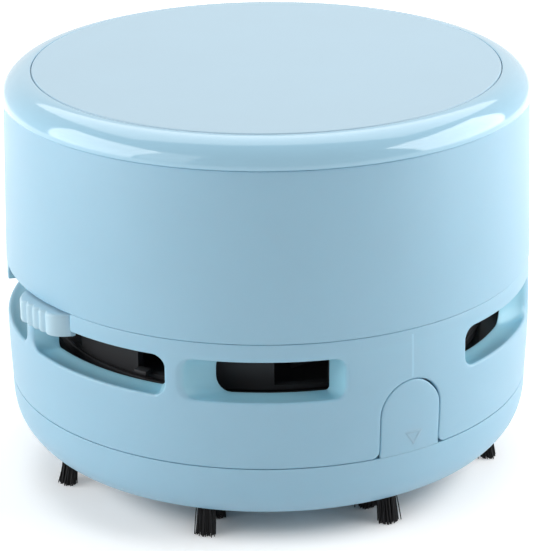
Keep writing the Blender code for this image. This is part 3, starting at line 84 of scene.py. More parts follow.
# Name, azimuth from the front, height angle, distance, width, height, power in watts
SOFT_BOXES = (
    ("soft_box_left", -78.0, 22.0, 0.70, 0.60, 0.60, 3.8),
    ("soft_box_front", -42.0, 24.0, 0.70, 0.26, 0.50, 0.38),
    ("soft_box_right", 90.0, 24.0, 0.70, 0.70, 0.60, 5.0),
    ("soft_box_top", 180.0, 60.0, 0.60, 0.70, 0.50, 1.64),
)
FILL_LIGHT = 0.13


def polar(radius, azimuth, height):
    """A point from its distance to the upright axis, its azimuth from the front and its height."""
    angle = math.radians(azimuth)
    return Vector((radius * math.sin(angle), -radius * math.cos(angle), height))


for name, azimuth, climb, distance, width, tall, power in SOFT_BOXES:
    lamp = bpy.data.lights.new(name, "AREA")
    lamp.shape = "RECTANGLE"
    lamp.size, lamp.size_y = width, tall
    lamp.energy = power
    lamp_object = bpy.data.objects.new(name, lamp)
    bpy.context.scene.collection.objects.link(lamp_object)
    out = distance * math.cos(math.radians(climb))
    lamp_object.location = polar(out, azimuth, distance * math.sin(math.radians(climb)))
    lamp_object.rotation_mode = "QUATERNION"
    lamp_object.rotation_quaternion = (-lamp_object.location).to_track_quat("-Z", "Y")


def fed(tree, kind, values=(), **settings):
    """A new node, set up, whose inputs take plain values or other nodes' outputs. The values go
    to the inputs in order, or by name."""
    node = tree.nodes.new(kind)
    for setting, value in settings.items():
        setattr(node, setting, value)
    for key, value in values.items() if isinstance(values, dict) else enumerate(values):
        if isinstance(value, bpy.types.NodeSocket):
            tree.links.new(value, node.inputs[key])
        else:
            node.inputs[key].default_value = value
    return node


def maths(tree, operation, *values):
    """What a maths node makes of the values."""
    return fed(tree, "ShaderNodeMath", values, operation=operation).outputs[0]


def ramp(tree, value, edges, ends=(0.0, 1.0)):
    """A smooth change from one end to the other while the value passes between the edges."""
    values = (value, *edges, *ends)
    return fed(tree, "ShaderNodeMapRange", values, interpolation_type="SMOOTHSTEP").outputs[0]


def object_place(tree):
    """Where a point of the surface lies, in the object's own coordinates."""
    return tree.nodes.new("ShaderNodeTexCoord").outputs["Object"]


def shows_white(tree):
    """1 where a camera, mirror or glass ray looks, else 0."""
    path = tree.nodes.new("ShaderNodeLightPath").outputs
    either = maths(tree, "MAXIMUM", path["Is Camera Ray"], path["Is Glossy Ray"])
    return maths(tree, "MAXIMUM", either, path["Is Transmission Ray"])


world = bpy.data.worlds.new("white_room")
bpy.context.scene.world = world
world.use_nodes = True
tree = world.node_tree
level = fed(tree, "ShaderNodeMapRange", (shows_white(tree), 0.0, 1.0, FILL_LIGHT, 1.0)).outputs[0]
tree.links.new(level, tree.nodes["Background"].inputs["Strength"])
tree.nodes["Background"].inputs["Color"].default_value = (1.0, 1.0, 1.0, 1.0)

FLOOR_SIZE = 6.0
FLOOR_DROP = 0.00005
FLOOR_COLOUR = (0.88, 0.88, 0.88, 1.0)
FLOOR_GLOW_NEAR = 0.42
FLOOR_GLOW_FAR = 1.0
FLOOR_GLOW_RADII = (0.09, 0.26)
# Painted shadows, dimmed into the floor's glow under the vacuum where its cast shadow also falls: the
# middle in x and y, two radii and the glow left inside them
FLOOR_PAINTED_SHADOWS = (
    (0.0023, -0.0087, 0.0222, 0.0308, 0.0),
    (-0.0117, -0.0130, 0.0211, 0.0276, 0.68),
)

sweep = bpy.data.meshes.new("floor")
half = FLOOR_SIZE / 2
corners = ((-half, -half), (half, -half), (half, half), (-half, half))
sweep.from_pydata([(x, y, -FLOOR_DROP) for x, y in corners], [], [(0, 1, 2, 3)])
floor = bpy.data.objects.new("floor", sweep)
bpy.context.scene.collection.objects.link(floor)
floor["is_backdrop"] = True
paper = bpy.data.materials.new("white_sweep")
paper.use_nodes = True
sweep.materials.append(paper)
tree = paper.node_tree
place = object_place(tree)
away = fed(tree, "ShaderNodeVectorMath", (place,), operation="LENGTH").outputs["Value"]
glow = ramp(tree, away, FLOOR_GLOW_RADII, (FLOOR_GLOW_NEAR, FLOOR_GLOW_FAR))
# Each spot dims the glow softly: a painted shadow on the floor.
for x, y, inner, outer, left in FLOOR_PAINTED_SHADOWS:
    spot = (x, y, 0.0)
    gap = fed(tree, "ShaderNodeVectorMath", (place, spot), operation="DISTANCE").outputs["Value"]
    glow = maths(tree, "MULTIPLY", glow, ramp(tree, gap, (inner, outer), (left, 1.0)))
shader = tree.nodes["Principled BSDF"]
shader.inputs["Base Color"].default_value = FLOOR_COLOUR
shader.inputs["Roughness"].default_value = 1.0
shader.inputs["Specular IOR Level"].default_value = 0.0
shader.inputs["Emission Color"].default_value = (1.0, 1.0, 1.0, 1.0)
shown = maths(tree, "MULTIPLY", glow, shows_white(tree))
tree.links.new(shown, shader.inputs["Emission Strength"])

# Base: the dust tray is one moulding in satin light blue ABS, turned from its cross-section. Its
# side rolls under to a flat sole with the inlet in the middle, and eight pockets for the bristle
# strips are cut up into the sole.

MICRON = 0.000001
TURN_STEPS = 240
ARC_STEPS = 6
BLOCK_ARC_STEPS = 3
LONGEST_REACH_SHARE = 0.49
SMOOTH_LIMIT = 35.0
PATCH_SCALE = 90.0
SATIN_BLUE = (0.338, 0.572, 0.724)
# Painted shade for the vents' recesses: its deeper blue, and the radii and heights it is laid between
RECESS_SHADE_BLUE = (0.360, 0.680, 0.820)
RECESS_RADII = (0.0393, 0.0401)
RECESS_HEIGHTS = (0.0222, 0.0305)
RECESS_FADE = 0.0006
JOINT_GAP = 0.00012
JOINT_EDGE = 0.00012
PARTING_HEIGHT = 0.0131
BRISTLE_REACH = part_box("base_tray")[0].z
RIM_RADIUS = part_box("base_tray")[1].x
LIP_TOP_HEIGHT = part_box("base_tray")[1].z
BASE_DROP = 0.0027
BASE_CURVE_POWER = 3.3
BASE_CURVE_POINTS = 24
BASE_SOLE_EDGE = 0.0005
BASE_FLOOR = 0.0024
LIP_RADIUS = 0.0374
LIP_WALL = 0.0014
INLET_RADIUS = 0.0090
INLET_MOUTH = 0.0009
CHIMNEY_WALL = 0.0014
CHIMNEY_TOP_HEIGHT = 0.0135
INNER_FILLET = 0.0006
ROW_FIRST_AZIMUTH = -15.5
ROW_COUNT = 8
ROW_PITCH = 360.0 / ROW_COUNT
ROW_RADII = (0.0268, 0.0362)
ROW_HALF_WIDTH = 0.0024
ROW_THICKNESS = 0.0013
POCKET_CLEARANCE = 0.0003
POCKET_OVERRUN = 0.0010


def rounded(corners, closed=True, steps=ARC_STEPS):
    """The line through (x, y, radius) corners, each turned on an arc of its radius."""
    points = []
    count = len(corners)
    for i, (x, y, radius) in enumerate(corners):
        here = Vector((x, y))
        inside = closed or 0 < i < count - 1
        if radius <= 0.0 or not inside:
            points.append(here)
            continue
        back = Vector(corners[i - 1][:2]) - here
        ahead = Vector(corners[(i + 1) % count][:2]) - here
        half = back.angle(ahead) / 2
        longest = LONGEST_REACH_SHARE * min(back.length, ahead.length)
        reach = min(radius / math.tan(half), longest)
        radius = reach * math.tan(half)
        middle = (back.normalized() + ahead.normalized()).normalized()
        centre = here + middle * radius / math.sin(half)
        start = here + back.normalized() * reach - centre
        turn = math.pi - 2 * half
        if back.cross(ahead) > 0.0:
            turn = -turn
        for k in range(steps + 1):
            points.append(centre + Matrix.Rotation(turn * k / steps, 2) @ start)
    return points


def four_corners(xs, ys, edges):
    """A rectangle's corners for rounded, from its lower left one on, with one radius or four."""
    edges = edges if isinstance(edges, tuple) else (edges,) * 4
    spots = ((xs[0], ys[0]), (xs[1], ys[0]), (xs[1], ys[1]), (xs[0], ys[1]))
    return [(x, y, edge) for (x, y), edge in zip(spots, edges)]


def mesh_from(bm, name):
    """The finished faces of bm as a smooth mesh with crisp edges."""
    bmesh.ops.remove_doubles(bm, verts=bm.verts, dist=MICRON)
    bmesh.ops.dissolve_degenerate(bm, edges=bm.edges, dist=MICRON / 10)
    bmesh.ops.recalc_face_normals(bm, faces=bm.faces)
    mesh = bpy.data.meshes.new(name)
    bm.to_mesh(mesh)
    bm.free()
    mesh.shade_smooth()
    mesh.set_sharp_from_angle(angle=math.radians(SMOOTH_LIMIT))
    return mesh


def add_turned(bm, outline, steps=TURN_STEPS, centre=(0.0, 0.0)):
    """The closed (radius, height) outline turned round an upright axis."""
    rings = []
    for i in range(steps):
        x, y = math.sin(math.tau * i / steps), math.cos(math.tau * i / steps)
        rings.append([bm.verts.new((centre[0] + r * x, centre[1] - r * y, z)) for r, z in outline])
    for i in range(steps):
        near, far = rings[i], rings[(i + 1) % steps]
        for j in range(len(outline)):
            k = (j + 1) % len(outline)
            if outline[j][0] > MICRON or outline[k][0] > MICRON:
                bm.faces.new((near[j], far[j], far[k], near[k]))


def turned(corners, steps=TURN_STEPS, centre=(0.0, 0.0)):
    """A new shape, turned from the line through the rounded (radius, height) corners."""
    bm = bmesh.new()
    add_turned(bm, rounded(corners), steps, centre)
    return bm


def add_loft(bm, sections, capped=True):
    """Faces between closed sections that have the same number of points."""
    rings = [[bm.verts.new(point) for point in section] for section in sections]
    for near, far in zip(rings, rings[1:]):
        for i in range(len(near)):
            j = (i + 1) % len(near)
            bm.faces.new((near[i], near[j], far[j], far[i]))
    if capped:
        bm.faces.new(rings[0][::-1])
        bm.faces.new(rings[-1])


def add_block(bm, low, high, edge, turn=None):
    """A box with round upright edges and softened rims, turned by a matrix if one is given."""
    corners = four_corners((low[0], high[0]), (low[1], high[1]), edge)
    middle = Vector(((low[0] + high[0]) / 2, (low[1] + high[1]) / 2))
    sections = []
    for height, inset in (
        (low[2], edge / 2),
        (low[2] + edge / 2, 0.0),
        (high[2] - edge / 2, 0.0),
        (high[2], edge / 2),
    ):
        section = []
        for point in rounded(corners, steps=BLOCK_ARC_STEPS):
            inward = (middle - point).normalized() * inset
            spot = Vector((point.x + inward.x, point.y + inward.y, height))
            section.append(turn @ spot if turn else spot)
        sections.append(section)
    add_loft(bm, sections)


def cut(bm, cutter_bm):
    """A new shape: the first one with the cutter's shapes taken out of it."""
    blank, cutter = (
        bpy.data.objects.new(name, mesh_from(shape, name))
        for name, shape in (("blank", bm), ("cutter", cutter_bm))
    )
    for obj in (blank, cutter):
        bpy.context.scene.collection.objects.link(obj)
    modifier = blank.modifiers.new("cut", "BOOLEAN")
    modifier.solver = "EXACT"
    modifier.object = cutter
    graph = bpy.context.evaluated_depsgraph_get()
    mesh = bpy.data.meshes.new_from_object(blank.evaluated_get(graph))
    done = bmesh.new()
    done.from_mesh(mesh)
    for used in (mesh, blank.data, cutter.data):
        bpy.data.meshes.remove(used)
    return done


def add_sockets(tree, way, kinds):
    """Named inputs or outputs for a node group."""
    for name, kind in kinds:
        tree.interface.new_socket(name, in_out=way, socket_type="NodeSocket" + kind)


def moulded_skin():
    """The node group for a moulded surface: fine grain, and slow changes of tint and polish."""
    group = bpy.data.node_groups.new("moulded_skin", "ShaderNodeTree")
    shown = (("Colour", "Color"), ("Roughness", "Float"))
    add_sockets(group, "INPUT", (*shown, ("Grain Size", "Float"), ("Patchiness", "Float")))
    add_sockets(group, "OUTPUT", (*shown, ("Height", "Float")))
    start = group.nodes.new("NodeGroupInput").outputs
    end = group.nodes.new("NodeGroupOutput").inputs
    place = object_place(group)
    scale = maths(group, "DIVIDE", 1.0, start["Grain Size"])
    grain = {"Vector": place, "Scale": scale, "Detail": 2.0}
    patches = {"Vector": place, "Scale": PATCH_SCALE, "Detail": 3.0}
    grain, patches = (
        fed(group, "ShaderNodeTexNoise", values).outputs["Fac"] for values in (grain, patches)
    )
    centred = maths(group, "SUBTRACT", patches, 0.5)
    amount = maths(group, "MULTIPLY", centred, start["Patchiness"])
    tint = {"Value": maths(group, "ADD", amount, 1.0), "Color": start["Colour"]}
    tint = fed(group, "ShaderNodeHueSaturation", tint).outputs["Color"]
    polish = maths(group, "ADD", amount, start["Roughness"])
    for name, value in (("Colour", tint), ("Roughness", polish), ("Height", grain)):
        group.links.new(value, end[name])
    return group


SKIN_GROUP = moulded_skin()


def moulded(name, colour, roughness, grain_size, grain_depth, patchiness=0.05, **constants):
    """A moulded plastic: the skin group feeds its colour, roughness and bump."""
    material = bpy.data.materials.new(name)
    material.use_nodes = True
    tree = material.node_tree
    values = ((*colour, 1.0), roughness, grain_size, patchiness)
    skin = fed(tree, "ShaderNodeGroup", values, node_tree=SKIN_GROUP).outputs
    bump = fed(tree, "ShaderNodeBump", {"Distance": grain_depth, "Height": skin["Height"]})
    shader = tree.nodes["Principled BSDF"]
    tree.links.new(skin["Colour"], shader.inputs["Base Color"])
    tree.links.new(skin["Roughness"], shader.inputs["Roughness"])
    tree.links.new(bump.outputs["Normal"], shader.inputs["Normal"])
    for socket, value in constants.items():
        shader.inputs[socket.replace("_", " ")].default_value = value
    return material


def tinted(material, mask, colour):
    """Gives the material a second colour where the mask is 1."""
    tree = material.node_tree
    shade = tree.nodes["Principled BSDF"].inputs["Base Color"]
    values = {"Factor": mask, "A": shade.links[0].from_socket, "B": (*colour, 1.0)}
    mix = fed(tree, "ShaderNodeMix", values, data_type="RGBA")
    tree.links.new(mix.outputs["Result"], shade)


def piece(name, bm, material, body, stands_for):
    """A finished piece that rides on its body in place of its CAD nodes."""
    mesh = mesh_from(bm, name)
    mesh.materials.append(material)
    obj = bpy.data.objects.new(name, mesh)
    bpy.context.scene.collection.objects.link(obj)
    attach(obj, body)
    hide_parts(*stands_for)


def vent_recess_shade_mask():
    """The node group that masks the painted shade in the vents' recesses: 1 on their sills and walls,
    else 0.
    """
    group = bpy.data.node_groups.new("vent_recess_shade_mask", "ShaderNodeTree")
    add_sockets(group, "OUTPUT", (("Mask", "Float"),))
    x, y, height = fed(group, "ShaderNodeSeparateXYZ", (object_place(group),)).outputs
    flat = fed(group, "ShaderNodeCombineXYZ", (x, y)).outputs[0]
    away = fed(group, "ShaderNodeVectorMath", (flat,), operation="LENGTH").outputs["Value"]
    low, high = RECESS_HEIGHTS
    deep = ramp(group, away, RECESS_RADII[::-1])
    mask = maths(group, "MULTIPLY", deep, ramp(group, height, (low, low + RECESS_FADE)))
    mask = maths(group, "MULTIPLY", mask, ramp(group, height, (high, high - RECESS_FADE)))
    group.links.new(mask, group.nodes.new("NodeGroupOutput").inputs["Mask"])
    return group


satin_blue = moulded(
    "satin_blue", SATIN_BLUE, roughness=0.38, grain_size=0.00016, grain_depth=0.000004,
    Subsurface_Weight=0.2, Subsurface_Radius=(0.4, 1.0, 1.0), Subsurface_Scale=0.0012,
)
# Painted shade: the vents' sills and walls get a deeper blue, which stands in for the tinted shade
# and bounced light inside the recesses.
recesses = fed(satin_blue.node_tree, "ShaderNodeGroup", node_tree=vent_recess_shade_mask())
tinted(satin_blue, recesses.outputs["Mask"], RECESS_SHADE_BLUE)


def base_side(height):
    """The radius of the base's side, which rolls in below the joint line."""
    share = (PARTING_HEIGHT - height) / (PARTING_HEIGHT - BRISTLE_REACH)
    return RIM_RADIUS - BASE_DROP * max(0.0, share) ** BASE_CURVE_POWER


sole_edge = BRISTLE_REACH + BASE_SOLE_EDGE
base_top = PARTING_HEIGHT - JOINT_GAP / 2
tray_floor = BRISTLE_REACH + BASE_FLOOR
side = [
    (base_side(height), height, 0.0)
    for height in np.linspace(sole_edge + BASE_SOLE_EDGE / 2, base_top - JOINT_EDGE, BASE_CURVE_POINTS)
]
lip_inner = LIP_RADIUS - LIP_WALL
chimney = INLET_RADIUS + CHIMNEY_WALL
tray = turned(
    [
        (INLET_RADIUS, BRISTLE_REACH, INLET_MOUTH),
        (base_side(BRISTLE_REACH), BRISTLE_REACH, BASE_SOLE_EDGE),
        *side,
        (RIM_RADIUS, base_top, JOINT_EDGE),
        (LIP_RADIUS, base_top, JOINT_EDGE),
        (LIP_RADIUS, LIP_TOP_HEIGHT, JOINT_EDGE),
        (lip_inner, LIP_TOP_HEIGHT, JOINT_EDGE),
        (lip_inner, tray_floor, INNER_FILLET),
        (chimney, tray_floor, INNER_FILLET),
        (chimney, CHIMNEY_TOP_HEIGHT, JOINT_EDGE),
        (INLET_RADIUS, CHIMNEY_TOP_HEIGHT, JOINT_EDGE),
    ]
)
pockets = bmesh.new()
half = ROW_HALF_WIDTH + POCKET_CLEARANCE
near = (-half, -ROW_RADII[1] - POCKET_CLEARANCE, BRISTLE_REACH - POCKET_OVERRUN)
far = (half, -ROW_RADII[0] + POCKET_CLEARANCE, BRISTLE_REACH + ROW_THICKNESS + POCKET_CLEARANCE)
for row in range(ROW_COUNT):
    turn = Matrix.Rotation(math.radians(ROW_FIRST_AZIMUTH + ROW_PITCH * row), 3, "Z")
    add_block(pockets, near, far, POCKET_CLEARANCE, turn)
tray = cut(tray, pockets)
piece("base_tray_shell", tray, satin_blue, "base", ["base_tray"])

# Bristle rows: eight strips with two tufts of fine black nylon each, pressed into the pockets
# from below. Geometry Nodes scatter each tuft's strands, which lean out, bend and stray, and
# their tips stop at the floor.

STRIP_EDGE = 0.0003
TUFT_RADII = (0.0293, 0.0343)
TUFT_HALF_WIDTH = 0.0014
TUFT_HALF_LENGTH = 0.00105
TUFT_LEANS = (0.0002, 0.0009)
STRANDS = 130
STRAND_RADIUS = 0.000085
STRAND_SIDES = 5
STRAND_STEPS = 5
STRAND_ROOT_DEPTH = 0.0004
STRAND_BEND = 0.00016
STRAND_SPREAD = 0.12
STRAND_STRAY = 0.00030
STRAND_SHORTEST = 0.955
STRAND_OVERREACH_SHARE = 1.06
STRAY_LEAST_SHARE = 0.3
STRAY_MORE_SHARE = 2.4
STRAY_POWER = 5.0
BRISTLE_SEED = 11
ROW_SEED_STEP = 20
TUFT_SEED_STEP = 10

black_nylon = moulded(
    "black_nylon", (0.004, 0.004, 0.005), roughness=0.50, grain_size=0.0004, grain_depth=0.000002,
    Specular_IOR_Level=0.25,
)


def tuft_tree():
    """A Geometry Nodes tree that scatters the bent strands of one tuft."""
    tree = bpy.data.node_groups.new("bristle_tuft", "GeometryNodeTree")
    lengths = ("Half Width", "Half Length", "Middle", "Root Height", "Lean", "Spread", "Stray",
               "Shortest", "Bend", "Thickness")
    sizes = [(name, "Float") for name in lengths]
    add_sockets(tree, "INPUT", (("Strands", "Int"), *sizes, ("Seed", "Int"), ("Material", "Material")))
    add_sockets(tree, "OUTPUT", (("Geometry", "Geometry"),))
    start = tree.nodes.new("NodeGroupInput").outputs
    end = tree.nodes.new("NodeGroupOutput").inputs

    def number(operation, *values):
        return maths(tree, operation, *values)

    def vector(*values):
        return fed(tree, "ShaderNodeCombineXYZ", values).outputs[0]

    def chance(offset, low, high):
        values = {"Min": low, "Max": high, "Seed": number("ADD", start["Seed"], offset)}
        return fed(tree, "FunctionNodeRandomValue", values).outputs["Value"]

    def drift(root, offset):
        """How far a tip lies from its root along one axis: it fans out, and strays by chance."""
        fan = number("MULTIPLY", root, start["Spread"])
        return number("ADD", fan, number("MULTIPLY", wild, chance(offset, -1.0, 1.0)))

    turn = chance(0, 0.0, math.tau)
    out = number("SQRT", chance(1, 0.0, 1.0))
    across = number("MULTIPLY", number("MULTIPLY", out, number("SINE", turn)), start["Half Width"])
    along_row = number("MULTIPLY", number("MULTIPLY", out, number("COSINE", turn)), start["Half Length"])
    root = number("SUBTRACT", number("MULTIPLY", along_row, -1.0), start["Middle"])
    points = {"Count": start["Strands"], "Position": vector(across, root, start["Root Height"])}
    points = fed(tree, "GeometryNodePoints", points)
    few = number("POWER", chance(2, 0.0, 1.0), STRAY_POWER)
    few = number("ADD", STRAY_LEAST_SHARE, number("MULTIPLY", STRAY_MORE_SHARE, few))
    wild = number("MULTIPLY", start["Stray"], few)
    aside = drift(across, 3)
    outward = number("ADD", drift(along_row, 4), start["Lean"])
    back_up = vector(number("MULTIPLY", aside, -1.0), outward, start["Root Height"])
    align = fed(tree, "FunctionNodeAlignRotationToVector", {"Vector": back_up}, axis="Z")
    spin = {"Axis": (0.0, 0.0, 1.0), "Angle": chance(5, 0.0, math.tau)}
    spin = fed(tree, "FunctionNodeAxisAngleToRotation", spin)
    values = (align.outputs[0], spin.outputs[0])
    turned_about = fed(tree, "FunctionNodeRotateRotation", values, rotation_space="LOCAL")
    reach = number("MULTIPLY", start["Root Height"], STRAND_OVERREACH_SHARE)
    bow = {
        "Resolution": STRAND_STEPS,
        "Start": vector(0.0, 0.0, 0.0),
        "Middle": vector(start["Bend"], 0.0, number("MULTIPLY", reach, -0.5)),
        "End": vector(0.0, 0.0, number("MULTIPLY", reach, -1.0)),
    }
    bow = fed(tree, "GeometryNodeCurveQuadraticBezier", bow)
    section = {"Resolution": STRAND_SIDES, "Radius": start["Thickness"]}
    section = fed(tree, "GeometryNodeCurvePrimitiveCircle", section)
    strand = {
        "Curve": bow.outputs["Curve"], "Profile Curve": section.outputs["Curve"], "Fill Caps": True
    }
    strand = fed(tree, "GeometryNodeCurveToMesh", strand)
    plant = {
        "Points": points.outputs[0],
        "Instance": strand.outputs["Mesh"],
        "Rotation": turned_about.outputs[0],
        "Scale": vector(1.0, 1.0, chance(6, start["Shortest"], 1.0)),
    }
    plant = fed(tree, "GeometryNodeInstanceOnPoints", plant)
    real = fed(tree, "GeometryNodeRealizeInstances", {"Geometry": plant.outputs["Instances"]})
    spot = tree.nodes.new("GeometryNodeInputPosition").outputs[0]
    x, y, z = fed(tree, "ShaderNodeSeparateXYZ", (spot,)).outputs
    trim = {"Geometry": real.outputs["Geometry"], "Position": vector(x, y, number("MAXIMUM", z, 0.0))}
    trim = fed(tree, "GeometryNodeSetPosition", trim)
    paint = {"Geometry": trim.outputs["Geometry"], "Material": start["Material"]}
    paint = fed(tree, "GeometryNodeSetMaterial", paint)
    tree.links.new(paint.outputs["Geometry"], end["Geometry"])
    return tree


TUFT_TREE = tuft_tree()


def scattered(tree, values):
    """The mesh a Geometry Nodes tree makes from its named inputs."""
    holder = bpy.data.objects.new("scatter", bpy.data.meshes.new("scatter"))
    bpy.context.scene.collection.objects.link(holder)
    modifier = holder.modifiers.new("scatter", "NODES")
    modifier.node_group = tree
    names = {item.name: item.identifier for item in tree.interface.items_tree if item.in_out == "INPUT"}
    for name, value in values.items():
        modifier[names[name]] = value
    graph = bpy.context.evaluated_depsgraph_get()
    made = bpy.data.meshes.new_from_object(holder.evaluated_get(graph))
    bpy.data.objects.remove(holder)
    return made


for row in range(ROW_COUNT):
    bm = bmesh.new()
    add_block(
        bm,
        (-ROW_HALF_WIDTH, -ROW_RADII[1], BRISTLE_REACH),
        (ROW_HALF_WIDTH, -ROW_RADII[0], BRISTLE_REACH + ROW_THICKNESS),
        STRIP_EDGE,
    )
    for tuft, (middle, lean) in enumerate(zip(TUFT_RADII, TUFT_LEANS)):
        strands = scattered(
            TUFT_TREE,
            {
                "Strands": STRANDS,
                "Half Width": TUFT_HALF_WIDTH,
                "Half Length": TUFT_HALF_LENGTH,
                "Middle": middle,
                "Root Height": BRISTLE_REACH + STRAND_ROOT_DEPTH,
                "Lean": lean,
                "Spread": STRAND_SPREAD,
                "Stray": STRAND_STRAY,
                "Shortest": STRAND_SHORTEST,
                "Bend": STRAND_BEND,
                "Thickness": STRAND_RADIUS,
                "Seed": BRISTLE_SEED + ROW_SEED_STEP * row + TUFT_SEED_STEP * tuft,
                "Material": black_nylon,
            },
        )
        bm.from_mesh(strands)
        bpy.data.meshes.remove(strands)
    bm.transform(Matrix.Rotation(math.radians(ROW_FIRST_AZIMUTH + ROW_PITCH * row), 4, "Z"))
    node = f"bristle_row_{row + 1}"
    piece(node + "_tufts", bm, black_nylon, "base", [node])

# Filter: a black frame that snaps over the tray's lip, with a cross of bars under a white felt pad
# that keeps the dust below the fan.

FILTER_LOW_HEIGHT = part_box("filter_frame")[0].z
FILTER_TOP_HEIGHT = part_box("filter_frame")[1].z
FILTER_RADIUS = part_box("filter_frame")[1].x
FILTER_SEAT_RADIUS = 0.0313
FILTER_INNER_RADIUS = 0.0295
FILTER_LEDGE = 0.0010
FILTER_BAR_HALF_WIDTH = 0.0008
FILTER_EDGE = 0.0003
PAD_LOW_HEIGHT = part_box("filter_pad")[0].z
PAD_TOP_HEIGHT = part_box("filter_pad")[1].z
PAD_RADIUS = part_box("filter_pad")[1].x
PAD_EDGE = 0.0005
PAD_RINGS = 90
PAD_WAVE = 0.00006
PAD_WAVE_LENGTH = 0.0022

black_plastic = moulded(
    "black_plastic", (0.054, 0.054, 0.057), roughness=0.48, grain_size=0.00030, grain_depth=0.000005,
    patchiness=0.10, Specular_IOR_Level=0.18,
)
filter_felt = moulded(
    "filter_felt", (0.70, 0.70, 0.66), roughness=0.95, grain_size=0.00009, grain_depth=0.00009,
    patchiness=0.16, Sheen_Weight=0.4,
)

ledge = FILTER_LOW_HEIGHT + FILTER_LEDGE
bm = turned(
    [
        (FILTER_INNER_RADIUS, FILTER_LOW_HEIGHT, FILTER_EDGE),
        (FILTER_RADIUS, FILTER_LOW_HEIGHT, FILTER_EDGE),
        (FILTER_RADIUS, FILTER_TOP_HEIGHT, FILTER_EDGE),
        (FILTER_SEAT_RADIUS, FILTER_TOP_HEIGHT, FILTER_EDGE),
        (FILTER_SEAT_RADIUS, ledge, JOINT_EDGE),
        (FILTER_INNER_RADIUS, ledge, FILTER_EDGE),
    ]
)
reach = FILTER_INNER_RADIUS + FILTER_EDGE
low = FILTER_LOW_HEIGHT + JOINT_EDGE
bar = FILTER_BAR_HALF_WIDTH
for x, y, drop in ((reach, bar, 0.0), (bar, reach, JOINT_EDGE / 2)):
    add_block(bm, (-x, -y, low + drop), (x, y, ledge - JOINT_EDGE - drop), FILTER_EDGE)
piece("filter_frame_ring", bm, black_plastic, "base", ["filter_frame"])

top = []
for radius in np.linspace(0.0, PAD_RADIUS - PAD_EDGE, PAD_RINGS + 1):
    dip = PAD_WAVE * (1 - math.cos(math.tau * radius / PAD_WAVE_LENGTH))
    top.append((radius, PAD_TOP_HEIGHT - dip, 0.0))
rim = [(PAD_RADIUS, PAD_TOP_HEIGHT, PAD_EDGE), (PAD_RADIUS, PAD_LOW_HEIGHT, PAD_EDGE)]
bm = turned([*top, *rim, (0.0, PAD_LOW_HEIGHT, 0.0)], TURN_STEPS // 2)
piece("filter_felt_pad", bm, filter_felt, "base", ["filter_pad"])

# Main body: the same satin ABS, moulded in side slides that meet at the tab. Eight vents run
# round it between thin posts, each with a soft sill that leans out, and the switch's notch opens
# down into two of them. The neck on top carries the cover.

SEAM_HEIGHT = 0.0321
COVER_GAP = 0.00008
UNROLLED_RADIUS = 0.0400
MID_BULGE = 0.00027
MID_LOW_HEIGHT = PARTING_HEIGHT + JOINT_GAP / 2
MID_HIGH_HEIGHT = SEAM_HEIGHT - COVER_GAP / 2
SKIRT_INNER_RADIUS = 0.0380
BAND_INNER_RADIUS = 0.0364
BAND_LOW_HEIGHT = 0.0215
BAND_FULL_HEIGHT = 0.0227
NECK_RADIUS = 0.0379
NECK_TOP_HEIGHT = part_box("mid_body")[1].z
NECK_ROOT = 0.0003
PANEL_SPACING = 0.0014
PANEL_MARGIN = 0.0005
PANEL_SCALE = 1000.0
PANEL_TOLERANCE = 1e-7
FILLET_STEPS = 5
HOLLOW_STEPS = 7
DEEPEST_EDGE_SHARE = 0.45
EDGE_STEPS = 26
SIDE_STEPS = 5
BODY_SEAM_AZIMUTH = 41.8
SEAM_STEPS = 12
VENT_LOW_HEIGHT = 0.0234
VENT_HIGH_HEIGHT = 0.02945
VENT_SILL_DROP = 0.00005
VENT_LOW_CORNER = 0.0019
VENT_HIGH_CORNER = 0.0020
VENT_INNER_CORNERS = (0.0006, 0.0024)
SILL_FILLET = 0.00036
HEAD_FILLET = 0.00018
WALL_FILLET = 0.00030
SCOOP_FILLET = 0.00050
SILL_HOLLOW = 0.00030
SCOOP_HOLLOW = 0.00060
SHORT_RAMP = 2.6
LONG_RAMP = 6.8
NOTCH_AZIMUTHS = (-78.3, -45.1)
NOTCH_LOW_HEIGHT = 0.0279
NOTCH_CORNER = 0.0004
# Where each closed vent starts and ends, and how far its two end walls lean inwards
VENTS = (
    (-18.4, 15.9, LONG_RAMP, SHORT_RAMP),
    (-315.5, -281.2, SHORT_RAMP, LONG_RAMP),
    (-278.5, -239.5, SHORT_RAMP, SHORT_RAMP),
    (-237.0, -195.4, SHORT_RAMP, SHORT_RAMP),
    (-192.9, -151.05, SHORT_RAMP, SHORT_RAMP),
    (-148.55, -106.7, SHORT_RAMP, SHORT_RAMP),
)
# The two vents under the switch's notch, and where the second one's soft edge stops
LEFT_VENT = (-104.2, -62.6, SHORT_RAMP, SHORT_RAMP)
FRONT_LEFT_VENT = (-60.1, -21.1, SHORT_RAMP, SHORT_RAMP)
SOFT_EDGE_END = -22.55
TAB_AZIMUTH = 30.2
TAB_HALF_WIDTH = 0.0050
TAB_TOP_HEIGHT = 0.02445
TAB_GAP = 0.00006
TAB_EDGE = 0.00024
ARCH_DRAFT = 0.00024
ARCH_FOOT = 0.0012
ARCH_SLACK = 0.00022
ARCH_STEPS = 28
